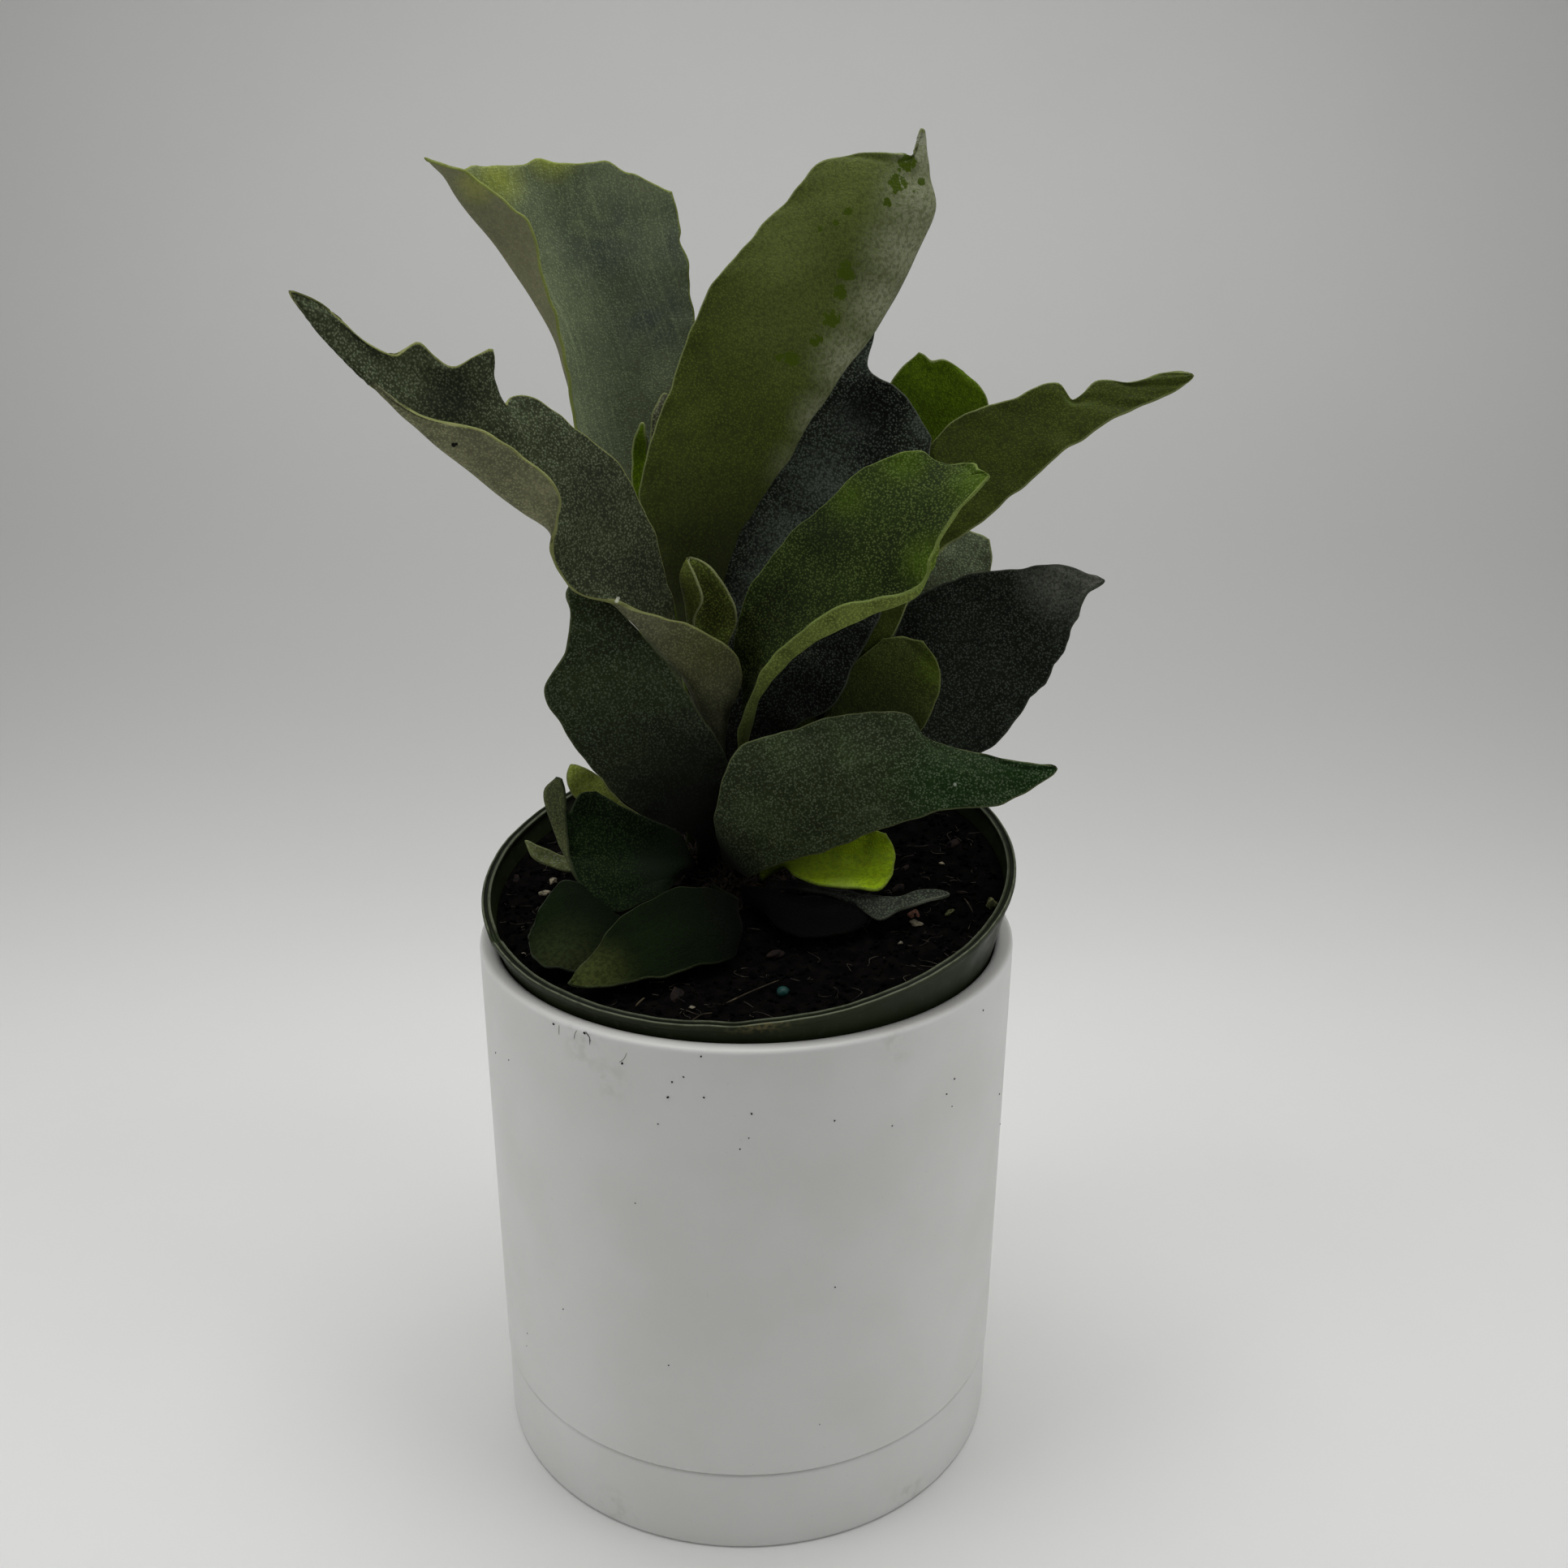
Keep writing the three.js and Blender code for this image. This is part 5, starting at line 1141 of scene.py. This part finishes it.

# Colours of each blade, as a code or the name of a green: upper face, underside where it differs, and the new
# growth, bruises, rubbed spots, downy parts and painted shade at places (x, y, z, radius). The new growth at
# the top of frond_back_left is painted light shining through the blade from behind; the bruises of
# frond_dark_center and frond_yellow_small are painted shade and a painted shadow. Each blade is also darkened
# towards its seat over
# a given length, a painted shade. felt: how much of the pale hair covers the upper face and the underside.
# bumps: (x, y, z, how far the margin stands out, width).
# spots: (x, z, radius, colour).
leaves = {
    "frond_front_right": {
        "upper": "moss", "lower": "#5b5f40", "felt": (0.55, 0.4), "feltColour": "#69755a", "mottle": 0.3,
        "between": 0.6, "baseShadeTo": 20, "rimColour": "#59613f", "youngAndBacklitColour": "newTip",
        "youngAndBacklit": [(66, -18, 178, 38), (47, -18, 174, 22, 0.9)],
        "bumps": [(-2.5, -16, 150.5, 2.5, 3.5)],
        "spots": [(47.2, 175.2, 0.45, "#8d9488")],
    },
    "frond_front_left": {
        "upper": "moss", "lower": "#5b5f40", "felt": (0.6, 0.4), "feltColour": "#6c7a62", "mottle": 0.3,
        "between": 0.5, "baseShadeTo": 80, "rimColour": "#4d5637",
        "deep": [(-12, -7, 164, 30, 0.8)],
    },
    "frond_left_forked": {
        "upper": "greyOlive", "lower": "khaki", "felt": (0.7, 0.35), "feltColour": "#7b8468", "mottle": 0.3,
        "veins": 0.08, "between": 0.7, "baseShadeTo": 95, "rimColour": "#8a8f55", "youngAndBacklitColour": "#5b5f2c",
        "youngAndBacklit": [(-8, -4, 202, 20, 0.8)],
        "deep": [(-31, -12, 240, 18, 0.4), (-59, -24, 260.5, 10, 0.55), (-21, -10, 222, 15, 0.35)],
        "bumps": [(-54.3, -20, 270.7, 2.4, 1.0), (-51.8, -18, 268.2, 1.2, 1.5),
            (-51.4, -14.5, 259, -3.4, 1.7), (-47.4, -12.5, 259.4, 0.8, 4), (-67.8, -27, 270.2, -0.6, 3)],
        "spots": [(-58.5, 251.1, 0.6, "#0c0d08"), (-57.9, 251.3, 0.4, "#0c0d08"),
            (-28.2, 215.3, 0.5, "#b9bba9")],
    },
    "frond_front_center": {
        "upper": "darkMoss", "lower": "lichen", "felt": (0.65, 0.4), "feltColour": "#66763c",
        "mottle": 0.25, "veins": 0.05, "between": 0.55, "baseShadeTo": 80, "rim": 0.6, "rimWidth": 0.32,
        "rimColour": "#7b8a4a", "youngAndBacklitColour": "newEdge",
        "youngAndBacklit": [(39.5, -15.5, 224.5, 10), (51, -13, 242, 11), (34, -5, 246, 9), (22, -2, 236, 8, 0.7)],
        "deep": [(5.7, -6, 214, 14, 0.5), (-2, -5, 188, 14, 0.5), (18, -2, 228, 12, 0.5)],
        "bumps": [(41.3, -5, 246.8, -0.5, 2), (50.5, -9, 245.3, 1.5, 1.2), (50, -10.5, 243.5, -1.6, 0.9),
            (52.6, -12, 242, 1, 1.6), (41, -16.5, 227.5, -1, 1.6), (41.6, -17, 224.8, 1, 2.4)],
    },
    "frond_back_center": {
        "upper": "olive", "felt": (0.4, 0.4), "clouds": 0.6, "mottle": 0.3, "veins": 0.08, "baseShadeTo": 95,
        "youngAndBacklitColour": "#5f6a36", "wornColour": "#41510e", "paleColour": "#999d81", "downy": (0.45, 0.95),
        "youngAndBacklit": [(24, 18, 302, 26), (9, 17, 290, 22), (12, 16, 275, 26, 0.6)],
        "worn": [(35.1, 18.4, 306.6, 4.5), (32.9, 17.1, 302.3, 5), (30.6, 15.9, 298.2, 2.5),
            (36.6, 17.9, 300, 2.5), (38.3, 18.8, 302.5, 2.2), (22.2, 14.5, 296.2, 2.2),
            (19.5, 14.2, 294, 1.8), (16, 14, 292.8, 1.6), (22, 13.8, 284, 4.8), (20.8, 13.6, 279.5, 3.6),
            (18.8, 13.3, 273.6, 4.5), (15.4, 12.9, 269.1, 3.5), (10.1, 12.4, 265.2, 4),
            (7.2, 12.2, 265.6, 2.5)],
        "pale": [(39, 18, 298, 15), (36, 17, 288, 15), (31, 16, 276, 14), (24, 15, 264, 13),
            (18, 14, 251, 11, 0.8), (12, 13, 240, 10, 0.5), (38.5, 19.5, 309, 10)],
        "deep": [(-9, 9, 218, 36, 0.6)],
        "bumps": [(16.3, 17, 305.7, 0.6, 4), (19.5, 18, 306, -0.5, 3), (23.5, 18, 308, 0.6, 5)],
        "spots": [(38.3, 311.4, 1.7, "#8f927a")],
    },
    "frond_back_left": {
        "upper": "sage", "lower": "khaki", "felt": (0.12, 0.15), "clouds": 0.5, "mottle": 0.22,
        # the yellow at this blade's top is painted light shining through it from behind
        "veins": 0.06, "between": 0.3, "uneven": 0.3, "rimColour": "#7f8a3f", "youngAndBacklitColour": "newYellow",
        "bruiseAndShadeColour": "#565f54",
        "youngAndBacklit": [(-52.6, 18, 304, 10), (-57, 14, 303, 8), (-44, 25, 309, 9, 0.7)],
        "bruiseAndShade": [(-33, 26, 290, 15), (-22, 25, 273, 15), (-16, 25, 290, 9)],
        "bumps": [(-57.2, 14, 305.9, 0.8, 3), (-54.2, 16, 303.8, -1.8, 1.8), (-51.6, 19, 305.4, 0.8, 3),
            (-46.1, 25, 307.1, 1.3, 4), (-42.1, 26, 305.7, -0.5, 4), (-32.4, 27, 305.4, 0.8, 5),
            (-28.7, 27, 303.2, -0.7, 2.5), (-22.1, 26.5, 302.2, 0.7, 4), (-15.8, 26, 291.4, 0.5, 3),
            (-14.2, 26, 286.8, 0.5, 3), (-14.7, 26, 290, -0.6, 1.6)],
    },
    "frond_dark_center": {
        "upper": "slate", "lower": "ash", "felt": (0.9, 0.6), "feltColour": "greyFelt", "veins": 0.06,
        # the near black bruises on this blade are painted shade
        "baseShadeTo": 60, "rimColour": "#555b4c", "bruiseAndShadeColour": "#0b110a",
        "bruiseAndShade": [(27.5, 25, 255, 11), (27, 24, 246, 12), (33, 25, 252, 8)],
        "pale": [(24, 22, 250, 9, 0.7), (17, 19, 238, 14), (9, 16, 224, 14), (4, 14, 212, 12),
            (41, 24, 250, 6, 0.7), (29, 29, 264, 6, 0.7)],
        "deep": [(26, 14, 201, 28, 0.65), (14, 8, 188, 20, 0.6), (27, 24.5, 253, 11, 0.75),
            (30, 25, 244, 9, 0.5)],
        "bumps": [(30.7, 31, 270.9, 1, 1.4), (28.3, 29, 264.4, -1.2, 2.2), (33.8, 26, 257.7, 0.6, 4)],
    },
    "frond_right_upper": {"upper": "olive", "felt": (0.35, 0.35), "clouds": 0.5, "veins": 0.06},
    "frond_right_small_back": {
        "upper": "grass", "felt": (0.1, 0.1), "clouds": 0.6, "veins": 0.02, "shine": 0.1,
        "bumps": [(43.6, 35, 263.4, -1.6, 1.8)],
    },
    "frond_right_dark": {
        "upper": "slate", "lower": "ash", "felt": (0.55, 0.5), "feltColour": "greyFelt", "veins": 0.05,
        "rimColour": "#3c4135", "paleColour": "#6f7166",
        "pale": [(83, 18, 214, 17), (74, 19, 214, 13)],
        "bumps": [(83.2, 18, 215.2, 0.4, 1.5), (81, 17.5, 211.5, -0.4, 1.2), (79.2, 17, 205.5, 0.5, 1.3),
            (78.3, 17, 201.7, -0.4, 1.2), (75.8, 16.5, 197.2, 0.5, 1.3), (74.2, 16, 193.1, -0.4, 1.1),
            (72.1, 16, 188.8, 0.5, 1.2), (69, 16, 184.9, -0.4, 1.2)],
    },
    "frond_right_mid_back": {"upper": "sage", "felt": (0.2, 0.2), "clouds": 0.4},
    "frond_right_small_round": {
        "upper": "darkOlive", "lower": "stem", "felt": (0.2, 0.2), "clouds": 0.5, "veins": 0.03,
        "rimColour": "#5c6436", "youngAndBacklitColour": "#4a5a12",
        "youngAndBacklit": [(45, 10.5, 194, 8, 0.9)],
        "deep": [(30, 8, 180, 20, 0.5)],
    },
    "frond_lower_left": {
        "upper": "bottle", "lower": "downyOlive", "felt": (0.6, 0.4), "feltColour": "#3c4a2c",
        "shine": 0.06, "baseShadeTo": 34, "deepShadeColour": "#0b1407", "rimColour": "#333c28",
        "deep": [(-17, -8, 152, 13, 0.7)],
    },
    "frond_lower_left_back": {"upper": "paleLime", "felt": (0.2, 0.2)},
    "frond_left_small_curl": {
        "upper": "paleSage", "felt": (0.3, 0.3), "bruiseAndShadeColour": "#a39b82",
        "bruiseAndShade": [(-56, -2, 158, 7)],
    },
    "shield_left": {
        "upper": "ivy", "lower": "#2c3320", "felt": (0.3, 0.4), "feltColour": "#20291a", "shine": 0.03,
        "uneven": 0.35, "rimColour": "#3c4335", "paleColour": "#3f4627",
        "pale": [(-41, -34, 138, 15, 0.6)],
    },
    "shield_front": {
        "upper": "ivy", "lower": "#2c3320", "felt": (0.3, 0.4), "feltColour": "#1f2c10", "shine": 0.03,
        "uneven": 0.25, "rimColour": "#424a31", "paleColour": "#4c5328",
        "pale": [(-34, -41, 137, 14, 0.8)],
        "deep": [(2, -26, 146, 20), (0, -35, 141, 13, 0.9)],
    },
    # its near black green is a painted shade under the blades above
    "shield_right_dark": {"upper": "night", "felt": (0.2, 0.2), "shine": 0.02, "rimColour": "#0d0f0a"},
    "frond_yellow_small": {
        "upper": "lime", "felt": (0.15, 0.15), "clouds": 0.5, "veins": 0.05, "rim": 0.4,
        # the dark bruises at the top are a painted shadow of the blade above
        "bruiseAndShadeColour": "#3d5206", "paleColour": "#a3b95c",
        "bruiseAndShade": [(26, -8, 158, 11), (34, -8, 158, 9)],
        "pale": [(33, -19, 157, 8), (22, -20, 152, 7)],
    },
    "frond_grey_small": {
        "upper": "ash", "felt": (0.6, 0.6), "rimColour": "#5d6152",
        "deep": [(9, -13, 147, 8)],
    },
    "bud_center": {"upper": "stem", "felt": (0.35, 0.35), "rimColour": "#8b9065"},
    "bud_back_left": {"upper": "grass", "felt": (0.15, 0.15)},
    "bud_back_right": {"upper": "#70725c", "felt": (0.3, 0.3)},
}
plainLeaf = {  # what a blade has where its own record says nothing else
    "clouds": 1.0, "mottle": 0.4, "veins": 0.12, "between": 0.6, "shine": 0.1, "uneven": 0.16, "baseShadeTo": 60,
    "rim": 0.75, "rimWidth": 0.4, "rimColour": "#7c8554", "youngAndBacklitColour": "#6f8c26", "bruiseAndShadeColour": "#3c4347",
    "wornColour": "#2b4210", "downy": (0.4, 0.8), "hairGap": 0.54,
}


def leafOf(name):  # the blade's record, with the names of the greens turned to their codes
    leaf = {**plainLeaf, "lower": leaves[name]["upper"], **leaves[name]}
    return {key: greens.get(value, value) if isinstance(value, str) else value for key, value in leaf.items()}


def toned(code, light, towards=None):  # the same hue, darker or lighter, and part of the way to another
    parts = [int(code[i:i + 2], 16) * light for i in (1, 3, 5)]
    if towards:
        aim = [int(towards[i:i + 2], 16) for i in (1, 3, 5)]
        parts = [part * (0.75 + 0.25 * goal / max(aim)) for part, goal in zip(parts, aim)]
    return "#" + "".join("%02x" % min(int(part), 255) for part in parts)


def frondMaterial(name, leaf):
    # leathery blade under a felt of tiny pale star hairs: IOR about 1.45, dull, with a soft sheen
    above, below, spread = leaf["upper"], leaf["lower"], leaf["clouds"]
    felt = leaf.get("feltColour", toned(above, 2.1, "#9aa090"))
    feltUp, feltDown = leaf["felt"]
    material, tree, shader, where = newMaterial("felted frond, " + name.replace("_", " "))
    onBlade = addNode(tree, "ShaderNodeUVMap", uv_map="blade").outputs["UV"]
    upper, edge = attributeOf(tree, "upper"), attributeOf(tree, "edge")
    cloud = patches(tree, where, 13, 3, 0.33, 0.67, warp=0.4)
    shade = mixed(tree, cloud, toned(above, 1 - 0.18 * spread), toned(above, 1 + 0.08 * spread))
    cloud = patches(tree, where, 7, 3, 0.35, 0.7)
    under = mixed(tree, cloud, toned(below, 1 + 0.06 * spread), toned(below, 1 - 0.12 * spread))
    shade = mixed(tree, upper, under, shade)
    rust = patches(tree, where, 4, 2, 0.52, 0.7, (0, 0.3 * spread), 0.5)
    shade = coated(tree, shade, toned(above, 0.95, "#a07c6c"), rust)
    # new growth, and on frond_back_left painted light that shines through the blade from behind
    shade = coated(tree, shade, leaf["youngAndBacklitColour"], attributeOf(tree, "youngAndBacklit"))
    ragged = patches(tree, where, 9, 3, 0.3, 0.6, warp=0.8)
    # bruises, and on some blades painted shade and a painted shadow
    shade = coated(tree, shade, leaf["bruiseAndShadeColour"], attributeOf(tree, "bruiseAndShade"), ragged)
    fibres = made(tree, "ShaderNodeMapping", {"Vector": onBlade, "Scale": (1.0, 0.035, 1)})
    streak = noiseOf(tree, fibres, 1.0, 3.0)
    hairColour = mixed(tree, upper, toned(below, 1.6, "#a8a88c"), felt)
    skin = mixed(tree, upper, toned(below, 0.6), toned(above, 0.45))
    fleck = noiseOf(tree, where, 0.9, 4, 0.3)
    shade = coated(tree, shade, skin, rangeOf(tree, fleck, 0.42, 0.64, (0, leaf["mottle"])))
    shade = coated(tree, shade, hairColour, rangeOf(tree, streak, 0.52, 0.72), leaf["veins"])
    downy = rangeOf(tree, fleck, 0.65, 0.4, leaf["downy"])
    shade = coated(tree, shade, leaf.get("paleColour", hairColour), attributeOf(tree, "pale"), downy)
    # the star hairs stand about half a millimetre apart
    stand = addNode(tree, "ShaderNodeTexVoronoi", {"Vector": where, "Scale": 1 / leaf["hairGap"]})
    cells = stand.outputs["Distance"]
    cover = patches(tree, where, 2.2, 3, 0.3, 0.6, (0.6, 1.0))
    amount = rangeOf(tree, upper, 0, 1, (feltDown, feltUp))
    stars = rangeOf(tree, cells, 0.52, 0.2)
    shade = coated(tree, shade, hairColour, stars, cover, amount)
    shade = coated(tree, shade, skin, rangeOf(tree, cells, 0.5, 0.8), amount, leaf["between"])
    wide = leaf["rimWidth"]
    shade = coated(tree, shade, leaf["rimColour"], rangeOf(tree, edge, wide * 1.3, wide * 0.6), leaf["rim"])
    worn = product(tree, attributeOf(tree, "worn"), noiseOf(tree, where, 1.1, 3))
    worn = rangeOf(tree, worn, 0.28, 0.34)
    shade = coated(tree, shade, leaf["wornColour"], worn)
    # painted shade: the blade darkens towards its seat on the crown
    low = rangeOf(tree, attributeOf(tree, "fromSeat"), leaf["baseShadeTo"], 4, (0, 0.9))
    shade = coated(tree, shade, toned(above, 0.2), low)
    # painted shade at given places on the blade
    shade = coated(tree, shade, leaf.get("deepShadeColour", toned(above, 0.12)), attributeOf(tree, "deep"))
    flatPlace = made(tree, "ShaderNodeMapping", {"Vector": where, "Scale": (1, 0, 1)})
    for x, z, radius, colour in leaf.get("spots", []):
        far = addNode(tree, "ShaderNodeVectorMath", {0: flatPlace, 1: (x, 0, z)}, operation="DISTANCE")
        shade = coated(tree, shade, colour, rangeOf(tree, far.outputs["Value"], radius, radius * 0.6))
    dull = rangeOf(tree, cells, 0.7, 0.3, (0.58, 0.78))
    glossy = addNode(tree, "ShaderNodeMath", {0: dull, 1: product(tree, worn, 0.3)}, operation="SUBTRACT")
    fill(tree, shader, {
        "Base Color": shade, "Roughness": glossy.outputs["Value"], "IOR": 1.45,
        "Specular IOR Level": leaf["shine"], "Sheen Weight": 0.015,
        "Normal": bumpOf(tree, stars, 0.07, bumpOf(tree, streak, 0.1))})
    return material


def makeFronds():
    total = 0
    for number, (name, frond) in enumerate(fronds.items()):
        leaf = leafOf(name)
        piece = makeFrond(name, frond, leaf, frondMaterial(name, leaf), 100 + 10 * number)
        total += len(piece.data.polygons)
    print(len(fronds), "fronds made with", total, "faces")


makeCamera()
makeStage()
makeLights()
glaze = glazeMaterial()
makeCeramics(glaze)
plastic = plasticMaterial()
makeNurseryPot(plastic)
peat = peatMaterial()
ground = makeSoil(peat)
makeLitter(ground, peat)
bpy.data.objects.remove(ground)
makeSpecks(peat)
# the brown scales are darkened to nearly black, a painted shade under the fronds
makeCrown(litterMaterial("papery rhizome scales", "#0e0a07", "#2b2015", 1.2))
makeFronds()
